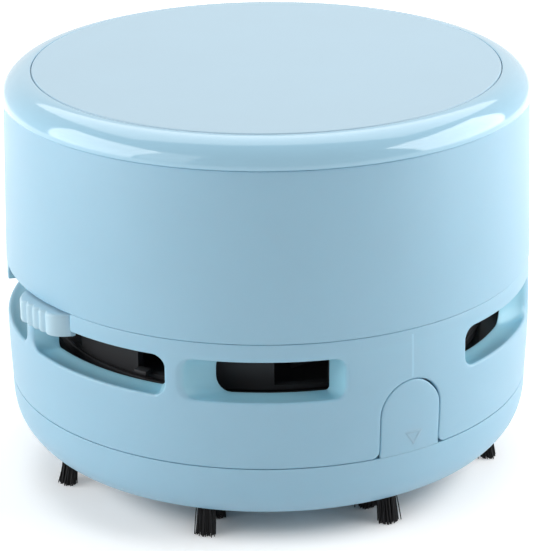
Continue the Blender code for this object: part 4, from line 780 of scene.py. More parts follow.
# How many stretches each straight run of a border is cut into
TOP_CUTS = (
    130, 2, 16, SIDE_STEPS, EDGE_STEPS, SIDE_STEPS, 2, SIDE_STEPS, EDGE_STEPS, SIDE_STEPS, 14, 2, 60,
)
BOTTOM_CUTS = (4, SIDE_STEPS, *[1] * ARCH_STEPS, SIDE_STEPS, 236)
VENT_CUTS = (EDGE_STEPS, SIDE_STEPS, EDGE_STEPS, SIDE_STEPS)
TAB_CUTS = (SIDE_STEPS, *[1] * ARCH_STEPS, SIDE_STEPS, 8)
LUG_AZIMUTHS = (20.0, 166.0, 254.4)
LUG_HALF_ANGLE = 4.3
LUG_INNER_RADIUS = 0.0333
LUG_HEIGHTS = (0.0273, 0.0303)
SCREW_CIRCLE_RADIUS = 0.03475
SCREW_HOLE_RADIUS = 0.0010
HOLE_STEPS = 24
CUT_OVERRUN = 0.0010


def along(azimuth):
    """The distance of an azimuth along the unrolled side."""
    return math.radians(azimuth) * UNROLLED_RADIUS


def body_side(height):
    """The outer radius of the main body, with its slight bulge."""
    share = (height - PARTING_HEIGHT) / (SEAM_HEIGHT - PARTING_HEIGHT)
    return RIM_RADIUS + MID_BULGE * math.sin(math.pi * min(1.0, max(0.0, share)))


def body_inside(height):
    """The inner radius: a thin skirt below, then the thicker band that carries the vents."""
    share = (height - BAND_LOW_HEIGHT) / (BAND_FULL_HEIGHT - BAND_LOW_HEIGHT)
    share = min(1.0, max(0.0, share))
    return SKIRT_INNER_RADIUS + (BAND_INNER_RADIUS - SKIRT_INNER_RADIUS) * share


def unrolled(keys, closed, cuts):
    """The line through the rounded keys, with each straight stretch cut into short ones."""
    line = rounded(keys, closed)
    counts = [1 if k[2] <= 0.0 or (not closed and i in (0, len(keys) - 1)) else ARC_STEPS + 1
              for i, k in enumerate(keys)]
    points, index = [], 0
    for i, count in enumerate(counts):
        points += line[index:index + count]
        index += count
        if i < len(counts) - 1 or closed:
            here, ahead = line[index - 1], line[index % len(line)]
            steps = cuts[i]
            points += [here.lerp(ahead, k / steps) for k in range(1, steps)]
    return points


def void_normals(points, closed):
    """At each point, the direction to the left of travel, where the opening is."""
    normals = []
    count = len(points)
    for i in range(count):
        back = points[i] - points[i - 1] if closed or i > 0 else None
        ahead = points[(i + 1) % count] - points[i] if closed or i < count - 1 else None
        tangent = Vector((0.0, 0.0))
        for step in (back, ahead):
            if step is not None and step.length > 0.0:
                tangent += step.normalized()
        tangent.normalize()
        normals.append(Vector((-tangent.y, tangent.x)))
    return normals


def edge_rows(outer_line, inner_line, closed, fillets, outside, inside, hollows=None):
    """Rows of points that carry an opening's edge from the outer skin, over its fillet and wall,
    to the inner skin. Each is (along, height, radius)."""
    normals = void_normals(outer_line, closed)
    inner_normals = void_normals(inner_line, closed)
    rows = []
    turns = [math.pi / 2 * k / FILLET_STEPS for k in range(FILLET_STEPS + 1)]
    for side, turn in [(0, t) for t in turns] + [(1, t) for t in reversed(turns)]:
        if hollows and side == 1 and len(rows) == len(turns):
            rows += hollow_rows(outer_line, inner_line, normals, fillets, outside, inside, hollows)
        row = []
        for outer, inner, normal, other, fillet in zip(
            outer_line, inner_line, normals, inner_normals, fillets
        ):
            out_radius, in_radius = outside(outer.y), inside(inner.y)
            depth = out_radius - in_radius
            edge = fillet if side == 0 else JOINT_EDGE
            edge = min(edge, DEEPEST_EDGE_SHARE * depth)
            sunk = edge * (1 - math.cos(turn))
            share = sunk / depth if side == 0 else 1 - sunk / depth
            spot = outer.lerp(inner, share)
            spot = spot - (normal if side == 0 else other) * edge * (1 - math.sin(turn))
            if side == 0:
                radius = outside(spot.y) - sunk
            else:
                radius = inside(spot.y) + sunk
            row.append((spot.x, spot.y, radius))
        rows.append(row)
    return rows


def hollow_rows(outer_line, inner_line, normals, fillets, outside, inside, hollows):
    """The rows between an edge's two fillets, where its wall is slightly dished."""
    rows = []
    for k in range(1, HOLLOW_STEPS):
        part = k / HOLLOW_STEPS
        row = []
        for outer, inner, normal, fillet, hollow in zip(
            outer_line, inner_line, normals, fillets, hollows
        ):
            depth = outside(outer.y) - inside(inner.y)
            near = min(fillet / depth, DEEPEST_EDGE_SHARE)
            far = 1 - min(JOINT_EDGE / depth, DEEPEST_EDGE_SHARE)
            share = near + (far - near) * part
            spot = outer.lerp(inner, share) - normal * hollow * 4 * part * (1 - part)
            row.append((spot.x, spot.y, outside(outer.y) - depth * share))
        rows.append(row)
    return rows


def wrapped(point):
    """A point of the unrolled side back on the round body."""
    s, height, radius = point
    return polar(radius, math.degrees(s / UNROLLED_RADIUS), height)


def inside_line(points, line):
    """Which of the points lie inside the closed line."""
    x, y = points[:, 0], points[:, 1]
    found = np.zeros(len(points), bool)
    for (x0, y0), (x1, y1) in zip(line, np.roll(line, -1, axis=0)):
        crosses = (y0 > y) != (y1 > y)
        with np.errstate(divide="ignore", invalid="ignore"):
            found ^= crosses & (x < (x1 - x0) * (y - y0) / (y1 - y0) + x0)
    return found


def add_skin(bm, outline, holes, radius_at, facing_out):
    """A skin over the unrolled outline, open at its holes, with even points in between."""
    outline = np.array(outline)
    holes = [np.array(hole) for hole in holes]
    low, high = outline.min(axis=0), outline.max(axis=0)
    counts = np.maximum(2, np.round((high - low) / PANEL_SPACING).astype(int))
    grid = np.stack(
        np.meshgrid(*[np.linspace(low[i], high[i], counts[i] + 1)[1:-1] for i in (0, 1)]), -1
    ).reshape(-1, 2)
    border = np.concatenate([outline, *holes])
    clear = np.array([np.hypot(*(border - point).T).min() > PANEL_MARGIN for point in grid])
    grid = grid[clear & inside_line(grid, outline)]
    for hole in holes:
        grid = grid[~inside_line(grid, hole)]
    edges, start = [], 0
    for line in (outline, *holes):
        count = len(line)
        edges += [(start + i, start + (i + 1) % count) for i in range(count)]
        start += count
    # The triangulation works in millimetres, where its own tolerance is small.
    flat = [Vector(point) for point in np.concatenate([border, grid]) * PANEL_SCALE]
    spots, _, faces, *_ = delaunay_2d_cdt(flat, edges, [], 0, PANEL_TOLERANCE)
    spots = np.array([(point.x, point.y) for point in spots]) / PANEL_SCALE
    faces = np.array([face for face in faces if len(face) == 3])
    centres = spots[faces].mean(axis=1)
    keep = inside_line(centres, outline)
    for hole in holes:
        keep &= ~inside_line(centres, hole)
    verts = [bm.verts.new(wrapped((s, z, radius_at(z)))) for s, z in spots]
    for face in faces[keep]:
        a, b, c = (verts[i] for i in (face if facing_out else face[::-1]))
        bm.faces.new((a, b, c))


def add_rows(bm, rows, closed):
    """Faces between the rows of an opening's edge."""
    made = [[bm.verts.new(wrapped(point)) for point in row] for row in rows]
    count = len(made[0])
    for near, far in zip(made, made[1:]):
        for i in range(count if closed else count - 1):
            j = (i + 1) % count
            bm.faces.new((near[i], near[j], far[j], far[i]))


def fillet_sizes(outer_line, closed, start, end, sill, head):
    """Each point's fillet: sill, head, or its end wall's own, blended round the corners."""
    sizes = []
    for normal in void_normals(outer_line, closed):
        wall = start if normal.x > 0.0 else end
        upright = sill if normal.y > 0.0 else head
        sizes.append(wall * normal.x**2 + upright * normal.y**2)
    return sizes


def hollow_sizes(outer_line, closed, start_ramp, end_ramp):
    """How deep the sill and the long end walls are dished at each point."""
    sizes = []
    for normal in void_normals(outer_line, closed):
        ramp = start_ramp if normal.x > 0.0 else end_ramp
        wall = SCOOP_HOLLOW if ramp > SHORT_RAMP else 0.0
        sizes.append(wall * normal.x**2 + SILL_HOLLOW * max(0.0, normal.y) ** 2)
    return sizes


def vent_keys(start, end, start_ramp, end_ramp):
    """A vent's outline outside and inside, from its lower left corner towards the right."""
    low = VENT_LOW_HEIGHT - VENT_SILL_DROP
    corners = (VENT_LOW_CORNER, VENT_LOW_CORNER, VENT_HIGH_CORNER, VENT_HIGH_CORNER)
    outer = four_corners((along(start), along(end)), (low, VENT_HIGH_HEIGHT), corners)
    left, right = (VENT_INNER_CORNERS[ramp > SHORT_RAMP] for ramp in (start_ramp, end_ramp))
    ends = (along(start + start_ramp), along(end - end_ramp))
    heights = (VENT_LOW_HEIGHT, VENT_HIGH_HEIGHT)
    return outer, four_corners(ends, heights, (left, right, right, left))


def end_fillet(ramp):
    """A long end wall is scooped out and has a softer edge than a short one."""
    return SCOOP_FILLET if ramp > SHORT_RAMP else WALL_FILLET


def add_screw_holes(bm, low, high):
    """A cutter for the three screws' holes."""
    outline = [point[:2] for point in four_corners((0.0, SCREW_HOLE_RADIUS), (low, high), 0.0)]
    for azimuth in LUG_AZIMUTHS:
        add_turned(bm, outline, HOLE_STEPS, polar(SCREW_CIRCLE_RADIUS, azimuth, 0.0).xy)


def arch_keys(half_width, foot, low, high, slack=0.0):
    """The tab's arch from its lower right foot over the top to its left foot, with some slack at
    its upper right."""
    middle = along(TAB_AZIMUTH)
    keys = [(middle + half_width, low, foot)]
    spring = high - half_width
    for i in range(ARCH_STEPS + 1):
        angle = math.pi * i / ARCH_STEPS
        reach = half_width - slack * max(0.0, math.sin(2 * angle)) ** 2
        keys.append((middle + reach * math.cos(angle), spring + reach * math.sin(angle), 0.0))
    keys.append((middle - half_width, low, foot))
    return keys


def border_keys(left, right):
    """The upper border: along the rim, down into the notch, round its two vents and up again."""
    return [
        (left_edge, MID_HIGH_HEIGHT, 0.0),
        (notch[0], MID_HIGH_HEIGHT, NOTCH_CORNER),
        (notch[0], VENT_HIGH_HEIGHT, NOTCH_CORNER),
        left[3],
        left[0],
        left[1],
        (left[1][0], NOTCH_LOW_HEIGHT, NOTCH_CORNER),
        (right[0][0], NOTCH_LOW_HEIGHT, NOTCH_CORNER),
        *right[:3],
        (notch[1], VENT_HIGH_HEIGHT, NOTCH_CORNER),
        (notch[1], MID_HIGH_HEIGHT, NOTCH_CORNER),
        (right_edge, MID_HIGH_HEIGHT, 0.0),
    ]


def border_edge(point, normal):
    """The fillet and the hollow at a point of the upper border."""
    if point.y > VENT_HIGH_HEIGHT + NOTCH_CORNER or point.x > along(SOFT_EDGE_END):
        return JOINT_EDGE, 0.0
    if point.y > NOTCH_LOW_HEIGHT - NOTCH_CORNER:
        return HEAD_FILLET, 0.0
    if normal.x > 0.0:
        wall = WALL_FILLET if point.x < notch[0] else SCOOP_FILLET
    else:
        wall = SCOOP_FILLET if point.x < along(FRONT_LEFT_VENT[0]) else WALL_FILLET
    upright, hollow = (SILL_FILLET, SILL_HOLLOW) if normal.y > 0.0 else (HEAD_FILLET, 0.0)
    return wall * normal.x**2 + upright * normal.y**2, hollow * normal.y**2


left_edge, right_edge = along(BODY_SEAM_AZIMUTH - 360.0), along(BODY_SEAM_AZIMUTH)
notch = [along(azimuth) for azimuth in NOTCH_AZIMUTHS]
bm = bmesh.new()
line, inner_line = (
    unrolled(border_keys(left, right), False, TOP_CUTS)
    for left, right in zip(vent_keys(*LEFT_VENT), vent_keys(*FRONT_LEFT_VENT))
)
edges = [border_edge(point, normal) for point, normal in zip(line, void_normals(line, False))]
fillets, hollows = zip(*edges)
top_rows = edge_rows(line, inner_line, False, fillets, body_side, body_inside, hollows)
half, high = TAB_HALF_WIDTH + TAB_GAP / 2, TAB_TOP_HEIGHT + TAB_GAP / 2
line, inner_line = (
    unrolled(
        [
            (right_edge, MID_LOW_HEIGHT, 0.0),
            *arch_keys(half + draft, ARCH_FOOT, MID_LOW_HEIGHT, high + draft),
            (left_edge, MID_LOW_HEIGHT, 0.0),
        ],
        False,
        BOTTOM_CUTS,
    )
    for draft in (0.0, ARCH_DRAFT)
)
fillets = [TAB_EDGE if point.y > MID_LOW_HEIGHT + ARCH_FOOT / 2 else JOINT_EDGE for point in line]
bottom_rows = edge_rows(line, inner_line, False, fillets, body_side, body_inside)
for rows in (top_rows, bottom_rows):
    add_rows(bm, rows, False)
vent_rows = []
for vent in VENTS:
    ramps = vent[2:]
    line, inner_line = (unrolled(keys, True, VENT_CUTS) for keys in vent_keys(*vent))
    ends = [end_fillet(ramp) for ramp in ramps]
    fillets = fillet_sizes(line, True, *ends, SILL_FILLET, HEAD_FILLET)
    hollows = hollow_sizes(line, True, *ramps)
    rows = edge_rows(line, inner_line, True, fillets, body_side, body_inside, hollows)
    add_rows(bm, rows, True)
    vent_rows.append(rows)
for row, radius_at, facing_out in ((0, body_side, True), (-1, body_inside, False)):
    top, bottom = ([point[:2] for point in rows[row]] for rows in (top_rows, bottom_rows))
    climb = np.linspace(bottom[0][1], top[-1][1], SEAM_STEPS + 1)[1:-1]
    outline = top + [(right_edge, z) for z in climb[::-1]] + bottom + [(left_edge, z) for z in climb]
    holes = [[point[:2] for point in rows[row]] for rows in vent_rows]
    add_skin(bm, outline, holes, radius_at, facing_out)
neck_low = MID_HIGH_HEIGHT - NECK_ROOT
edges = (0.0, 0.0, INNER_FILLET, JOINT_EDGE)
neck = four_corners((BAND_INNER_RADIUS, NECK_RADIUS), (neck_low, NECK_TOP_HEIGHT), edges)
add_turned(bm, rounded(neck))
lugs = bmesh.new()
reach = math.radians(LUG_HALF_ANGLE) * BAND_INNER_RADIUS
low = (-reach, -BAND_INNER_RADIUS - NECK_ROOT * 2, LUG_HEIGHTS[0])
high = (reach, -LUG_INNER_RADIUS, LUG_HEIGHTS[1])
for azimuth in LUG_AZIMUTHS:
    add_block(lugs, low, high, INNER_FILLET, Matrix.Rotation(math.radians(azimuth), 3, "Z"))
holes = bmesh.new()
add_screw_holes(holes, LUG_HEIGHTS[0] - CUT_OVERRUN, LUG_HEIGHTS[1] + CUT_OVERRUN)
bm.from_mesh(mesh_from(cut(lugs, holes), "lugs"))
piece("main_body_shell", bm, satin_blue, "main_body", ["mid_body"])

# Mould line: where the mould's two slides meet over the tab, they leave a faint raised line in the
# same ABS, given a lighter blue: a painted highlight along its crest.

WITNESS_HEIGHTS = (0.0249, 0.0313)
WITNESS_WIDTH = 0.00042
WITNESS_RISE = 0.00001
WITNESS_STATIONS = 8
# A lighter blue than the body: the painted highlight of the line.
WITNESS_HIGHLIGHT_BLUE = (0.390, 0.650, 0.810)

witness_highlight_blue = moulded(
    "witness_highlight_blue", WITNESS_HIGHLIGHT_BLUE, roughness=0.38, grain_size=0.00016, grain_depth=0.000004,
)

turn = Matrix.Rotation(math.radians(TAB_AZIMUTH), 3, "Z")
half = WITNESS_WIDTH / 2
low, high = -WITNESS_RISE, WITNESS_RISE
section = ((-half, low), (-half / 2, high), (half / 2, high), (half, low))
sections = [
    [turn @ Vector((x, -body_side(height) - rise, height)) for x, rise in section]
    for height in np.linspace(*WITNESS_HEIGHTS, WITNESS_STATIONS)
]
bm = bmesh.new()
add_loft(bm, sections)
piece("main_body_mould_line", bm, witness_highlight_blue, "main_body", ["mid_body"])

# Release tab: the arched tongue of the base that a thumb presses to drop the dust tray. It is the
# same moulding as the base, so only a faint line shows at its foot, and a small open arrow on it
# points down.

TAB_WALL = 0.0020
TAB_FOOT_GAP = 0.000027
TAB_FOOT_EDGE = 0.00005
TAB_FOOT_TAPER = 0.00024
TAB_INNER_RADIUS = RIM_RADIUS + MID_BULGE - TAB_WALL
ARROW_AZIMUTH = 30.9
ARROW_WIDTH = 0.0024
ARROW_HEIGHTS = (0.0144, 0.0161)
ARROW_LINE = 0.00056
ARROW_RISE = 0.00006
ARROW_CREST_SHARE = 0.35
HOOK_RADII = (0.0349, 0.0360)
HOOK_HEIGHTS = (0.0219, 0.0270)
HOOK_FOOT = 0.0014
HOOK_HALF_ANGLE = 3.0

def tab_inside(height):
    """The tab's inner radius, the same all the way up."""
    return TAB_INNER_RADIUS


bm = bmesh.new()
foot = PARTING_HEIGHT - JOINT_GAP / 2 + TAB_FOOT_GAP
half, high = TAB_HALF_WIDTH - TAB_GAP / 2, TAB_TOP_HEIGHT - TAB_GAP / 2
# Clockwise, so that the outside of the tab is to the left. Inside, the foot rises from its hinge.
line, inner_line = (
    unrolled(arch_keys(half, TAB_FOOT_EDGE, low, high, ARCH_SLACK), True, TAB_CUTS)[::-1]
    for low in (foot, foot + TAB_FOOT_TAPER)
)
edges = [TAB_EDGE if point.y > foot + TAB_EDGE else TAB_FOOT_EDGE for point in line]
rows = edge_rows(line, inner_line, True, edges, body_side, tab_inside)
add_rows(bm, rows, True)
for row, radius_at, facing_out in ((0, body_side, True), (-1, tab_inside, False)):
    add_skin(bm, [point[:2] for point in rows[row]], [], radius_at, facing_out)


def add_ridge(bm, corners, width, rise, azimuth):
    """A closed raised line round (across, height) corners, proud of the body's side."""
    turn = Matrix.Rotation(math.radians(azimuth), 3, "Z")
    middle = sum((Vector(corner) for corner in corners), Vector((0.0, 0.0))) / len(corners)
    crest = ARROW_CREST_SHARE
    section = ((-1.0, -1.0), (-crest, 1.0), (crest, 1.0), (1.0, -1.0))
    rings = []
    count = len(corners)
    for i in range(count):
        here = Vector(corners[i])
        back = (Vector(corners[i - 1]) - here).normalized()
        ahead = (Vector(corners[(i + 1) % count]) - here).normalized()
        mitre = (back + ahead).normalized() / math.sin(back.angle(ahead) / 2)
        ring = []
        for across, up in section:
            spot = here + mitre * across * width / 2
            face = -body_side(spot.y)
            bulge = -math.sqrt(face**2 - spot.x**2)
            ring.append(bm.verts.new(turn @ Vector((spot.x, bulge - up * rise, spot.y))))
        rings.append(ring)
    for i in range(count):
        near, far = rings[i], rings[(i + 1) % count]
        for j in range(len(section)):
            k = (j + 1) % len(section)
            bm.faces.new((near[j], near[k], far[k], far[j]))


half = ARROW_WIDTH / 2
arrow = [(-half, ARROW_HEIGHTS[1]), (half, ARROW_HEIGHTS[1]), (0.0, ARROW_HEIGHTS[0])]
add_ridge(bm, arrow, ARROW_LINE, ARROW_RISE, ARROW_AZIMUTH)
turn = Matrix.Rotation(math.radians(TAB_AZIMUTH), 3, "Z")
reach = math.radians(HOOK_HALF_ANGLE) * HOOK_RADII[1]
for outer, low, high in (
    (TAB_INNER_RADIUS + JOINT_EDGE, HOOK_HEIGHTS[0], HOOK_HEIGHTS[0] + HOOK_FOOT),
    (HOOK_RADII[1], HOOK_HEIGHTS[0] + JOINT_EDGE, HOOK_HEIGHTS[1]),
):
    add_block(bm, (-reach, -outer, low), (reach, -HOOK_RADII[0], high), JOINT_EDGE, turn)
# The slivers that the foot's fine corners leave open are filled.
bmesh.ops.remove_doubles(bm, verts=bm.verts, dist=MICRON)
slivers = [edge for edge in bm.edges if edge.is_boundary]
bmesh.ops.holes_fill(bm, edges=slivers, sides=TURN_STEPS)
piece("release_tab_tongue", bm, satin_blue, "tab", ["release_tab"])

# Fan housing: a black ABS cup hung under the deck by its flange, with ten exhaust windows in its
# wall, and the flat eye plate that closes it below. The impeller's disc and curved blades are one
# black moulding on the motor's steel shaft.

HOUSING_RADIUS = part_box("eye_plate")[1].x
HOUSING_WALL = 0.0012
HOUSING_LOW_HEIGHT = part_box("fan_housing")[0].z
FLANGE_RADIUS = 0.0360
ROOF_LOW_HEIGHT = 0.0306
ROOF_TOP_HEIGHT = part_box("fan_housing")[1].z
HOUSING_EDGE = 0.0002
BOSS_RADIUS = 0.0031
BOSS_CLEARANCE = 0.0003
BEND_ANGLE = 1.5
WINDOW_COUNT = 10
WINDOW_FIRST_AZIMUTH = -34.7
WINDOW_ANGLE = 14.0
CATCH_AZIMUTHS = (-34.2, -30.8)
CATCH_HEIGHTS = (0.0229, 0.0236)
CATCH_DEPTH = 0.0014
WINDOW_HEIGHTS = (0.0229, 0.0300)
SWITCH_TRAVEL = 14.5
STEM_AZIMUTHS = (-56.45, -52.05)
PATH_MARGIN = 1.0
STEM_PATH_DEPTH = 0.0024
POST_PATH_DEPTH = 0.0020
EYE_RADIUS = 0.0130
EYE_EDGE = 0.0005
FAN_LOW_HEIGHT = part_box("impeller")[0].z
FAN_TOP_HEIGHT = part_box("impeller")[1].z
FAN_RADIUS = 0.0270
FAN_DISC_THICKNESS = 0.0010
FAN_HUB_RADIUS = 0.0040
FAN_BORE_RADIUS = 0.0013
FAN_EDGE = 0.0003
BLADE_COUNT = 8
BLADE_INNER_RADIUS = 0.0090
BLADE_SWEEP = 38.0
BLADE_THICKNESS = 0.0010
BLADE_STEPS = 18
BLADE_TIP_SHARE = 0.35
BLADE_SWELL_SHARE = 4.0
SHAFT_RADIUS = 0.0010
SHAFT_EDGE = 0.0002
SHAFT_STEPS = 48

zinc_steel = moulded(
    "zinc_steel", (0.60, 0.60, 0.60), roughness=0.28, grain_size=0.0003, grain_depth=0.000003,
    patchiness=0.12, Metallic=1.0,
)


def add_arc_block(bm, radii, azimuths, heights, edge):
    """A block bent round the upright axis, with softened long edges."""
    section = rounded(four_corners(radii, heights, edge), steps=BLOCK_ARC_STEPS)
    steps = max(2, round((azimuths[1] - azimuths[0]) / BEND_ANGLE))
    stations = np.linspace(azimuths[0], azimuths[1], steps + 1)
    add_loft(bm, [[polar(r, azimuth, z) for r, z in section] for azimuth in stations])


def add_switch_path(bm, depth, low, high):
    """What the switch's stem sweeps through a plate's rim."""
    ends = (STEM_AZIMUTHS[0] - SWITCH_TRAVEL - PATH_MARGIN, STEM_AZIMUTHS[1] + PATH_MARGIN)
    add_arc_block(bm, (FLANGE_RADIUS - depth, FLANGE_RADIUS + CUT_OVERRUN), ends, (low, high), 0.0)


housing_inner = HOUSING_RADIUS - HOUSING_WALL
hole = BOSS_RADIUS + BOSS_CLEARANCE
bm = turned(
    [
        (hole, ROOF_LOW_HEIGHT, HOUSING_EDGE),
        (housing_inner, ROOF_LOW_HEIGHT, HOUSING_EDGE),
        (housing_inner, HOUSING_LOW_HEIGHT, HOUSING_EDGE),
        (HOUSING_RADIUS, HOUSING_LOW_HEIGHT, HOUSING_EDGE),
        (HOUSING_RADIUS, ROOF_LOW_HEIGHT, HOUSING_EDGE),
        (FLANGE_RADIUS, ROOF_LOW_HEIGHT, HOUSING_EDGE),
        (FLANGE_RADIUS, ROOF_TOP_HEIGHT, HOUSING_EDGE),
        (hole, ROOF_TOP_HEIGHT, HOUSING_EDGE),
    ],
    TURN_STEPS // 2,
)
cuts = bmesh.new()
radii = (housing_inner - CUT_OVERRUN, HOUSING_RADIUS + CUT_OVERRUN)
for i in range(WINDOW_COUNT):
    first = WINDOW_FIRST_AZIMUTH + 360.0 / WINDOW_COUNT * i
    add_arc_block(cuts, radii, (first, first + WINDOW_ANGLE), WINDOW_HEIGHTS, 0.0)
high = ROOF_TOP_HEIGHT + CUT_OVERRUN
add_switch_path(cuts, STEM_PATH_DEPTH, ROOF_LOW_HEIGHT - HOUSING_EDGE, high)
add_screw_holes(cuts, ROOF_LOW_HEIGHT - CUT_OVERRUN, high)
bm = cut(bm, cuts)
radii = (HOUSING_RADIUS - HOUSING_EDGE, HOUSING_RADIUS + CATCH_DEPTH)
add_arc_block(bm, radii, CATCH_AZIMUTHS, CATCH_HEIGHTS, HOUSING_EDGE)
piece("fan_housing_cup", bm, black_plastic, "main_body", ["fan_housing"])

heights = [corner.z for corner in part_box("eye_plate")]
edges = (EYE_EDGE, HOUSING_EDGE, HOUSING_EDGE, EYE_EDGE)
bm = turned(four_corners((EYE_RADIUS, HOUSING_RADIUS), heights, edges), TURN_STEPS // 2)
piece("eye_plate_ring", bm, black_plastic, "main_body", ["eye_plate"])

disc_low = FAN_TOP_HEIGHT - FAN_DISC_THICKNESS
bm = turned(
    [
        (FAN_BORE_RADIUS, FAN_LOW_HEIGHT, JOINT_EDGE),
        (FAN_HUB_RADIUS, FAN_LOW_HEIGHT, FAN_EDGE),
        (FAN_HUB_RADIUS, disc_low, FAN_EDGE),
        (FAN_RADIUS, disc_low, FAN_EDGE),
        (FAN_RADIUS, FAN_TOP_HEIGHT, FAN_EDGE),
        (FAN_BORE_RADIUS, FAN_TOP_HEIGHT, FAN_EDGE),
    ],
    TURN_STEPS // 2,
)
for i in range(BLADE_COUNT):
    edges = {-1: [], 1: []}
    for share in np.linspace(0.0, 1.0, BLADE_STEPS + 1):
        radius = BLADE_INNER_RADIUS + share * (FAN_RADIUS - FAN_EDGE - BLADE_INNER_RADIUS)
        swell = min(1.0, BLADE_TIP_SHARE + BLADE_SWELL_SHARE * min(share, 1 - share))
        half_angle = math.degrees(BLADE_THICKNESS / 2 * swell / radius)
        bend = 360.0 / BLADE_COUNT * i - BLADE_SWEEP * share * share
        for side in edges:
            edges[side].append(polar(radius, bend + side * half_angle, 0.0))
    outline = edges[-1] + edges[1][::-1]
    levels = (FAN_LOW_HEIGHT + JOINT_EDGE, disc_low + JOINT_EDGE)
    add_loft(bm, [[point + Vector((0.0, 0.0, z)) for point in outline] for z in levels])
piece("impeller_wheel", bm, black_plastic, "fan", ["impeller"])

heights = [corner.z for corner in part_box("motor_shaft")]
edges = (0.0, SHAFT_EDGE, SHAFT_EDGE, 0.0)
bm = turned(four_corners((0.0, SHAFT_RADIUS), heights, edges), SHAFT_STEPS)
piece("motor_shaft_rod", bm, zinc_steel, "fan", ["motor_shaft"])

# Motor: a small flat-sided can of drawn steel, closed by a white nylon end cap with two copper
# terminals. It stands on the housing's roof with its round boss in the hole there.

MOTOR_RADIUS = 0.0100
MOTOR_HALF_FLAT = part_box("motor_can")[1].x
CAN_HEIGHTS = (0.0321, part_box("motor_can")[1].z)
CAN_BOSS_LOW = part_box("motor_can")[0].z
CAN_EDGE = 0.0008
MOTOR_BORE_RADIUS = 0.0013
CAP_HEIGHTS = (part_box("motor_cap")[0].z, 0.0550)
CAP_BOSS_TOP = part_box("motor_cap")[1].z
CAP_BOSS_RADIUS = 0.0026
CAP_INSET = 0.0003
CAP_EDGE = 0.0003
TERMINAL_HOLE_RADIUS = 0.0005
MOTOR_STEPS = 96
BORE_STEPS = 32
BOSS_STEPS = 64

white_plastic = moulded(
    "white_plastic", (0.78, 0.78, 0.75), roughness=0.42, grain_size=0.0002, grain_depth=0.000003,
)
motor_case = moulded(
    "motor_case", (0.56, 0.56, 0.55), roughness=0.30, grain_size=0.0006, grain_depth=0.000006,
    patchiness=0.14, Metallic=1.0,
)
copper = moulded(
    "copper", (0.78, 0.42, 0.24), roughness=0.30, grain_size=0.0005, grain_depth=0.000004,
    patchiness=0.14, Metallic=1.0,
)


def add_flat_sided(bm, radius, half_flat, heights, edge):
    """A cylinder cut flat on two sides, with round top and bottom edges."""
    turns = [math.pi / 2 * k / ARC_STEPS for k in range(ARC_STEPS + 1)]
    levels = [(heights[0] + edge * (1 - math.sin(t)), edge * (1 - math.cos(t))) for t in reversed(turns)]
    levels += [(heights[1] - edge * (1 - math.sin(t)), edge * (1 - math.cos(t))) for t in turns]
    sections = []
    for height, inset in levels:
        section = []
        for angle in (math.tau * i / MOTOR_STEPS for i in range(MOTOR_STEPS)):
            x = max(inset - half_flat, min(half_flat - inset, radius * math.sin(angle)))
            section.append((x, (radius - inset) * math.cos(angle), height))
        sections.append(section)
    add_loft(bm, sections)


def bossed(sizes, heights, edge, boss_radius, boss_end, boss_edge):
    """A new shape: a bored flat-sided cylinder with a round boss out to boss_end, at its top or
    its foot."""
    body = bmesh.new()
    add_flat_sided(body, *sizes, heights, edge)
    span = (heights[0] - CUT_OVERRUN, heights[1] + CUT_OVERRUN)
    bm = cut(body, turned(four_corners((0.0, MOTOR_BORE_RADIUS), span, 0.0), BORE_STEPS))
    root = heights[1] - edge if boss_end > heights[1] else heights[0] + edge
    radii, edges = (MOTOR_BORE_RADIUS, boss_radius), (0.0, 0.0, boss_edge, 0.0)
    add_turned(bm, rounded(four_corners(radii, (root, boss_end), edges)), BOSS_STEPS)
    return bm


sizes = (MOTOR_RADIUS, MOTOR_HALF_FLAT)
bm = bossed(sizes, CAN_HEIGHTS, CAN_EDGE, BOSS_RADIUS, CAN_BOSS_LOW, JOINT_EDGE * 2)
piece("motor_can_case", bm, motor_case, "main_body", ["motor_can"])
sizes = (MOTOR_RADIUS - CAP_INSET, MOTOR_HALF_FLAT - CAP_INSET)
bm = bossed(sizes, CAP_HEIGHTS, CAP_EDGE, CAP_BOSS_RADIUS, CAP_BOSS_TOP, CAP_EDGE)
piece("motor_end_cap", bm, white_plastic, "main_body", ["motor_cap"])

for node in ("motor_terminal_front", "motor_terminal_rear"):
    low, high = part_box(node)
    bm = bmesh.new()
    add_block(bm, low, high, JOINT_EDGE)
    reach = high.y - low.y
    eye = turned(four_corners((0.0, TERMINAL_HOLE_RADIUS), (-reach, reach), 0.0), HOLE_STEPS)
    eye.transform(Matrix.Translation((low + high) / 2) @ Matrix.Rotation(math.pi / 2, 4, "X"))
    piece(node + "_lug", cut(bm, eye), copper, "main_body", [node])

# Battery deck: one black moulding over the fan housing, with four saddles and the end walls for
# two AA cells, and a well in the middle for the motor.

DECK_LOW_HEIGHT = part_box("battery_deck")[0].z
DECK_TOP_HEIGHT = 0.0335
DECK_EDGE = 0.0003
WELL_MARGIN = 0.0004
CELL_OFFSET = 0.0166
CELL_RADIUS = 0.00725
CELL_HEIGHT = 0.04195
SADDLE_HALF_WIDTH = 0.0070
SADDLE_RISE = 0.0045
SADDLE_THICKNESS = 0.0018
SADDLE_OFFSET = 0.012555
SADDLE_ARC_STEPS = 20
SEAT_CLEARANCE = 0.0003
WALL_TOP_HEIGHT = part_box("battery_deck")[1].z
WALL_OUTER_X = 0.0194
WALL_INNER_X = 0.0120
WALL_FACE = 0.0286
WALL_THICKNESS = 0.0012
ROOT_DEPTH = 0.0002

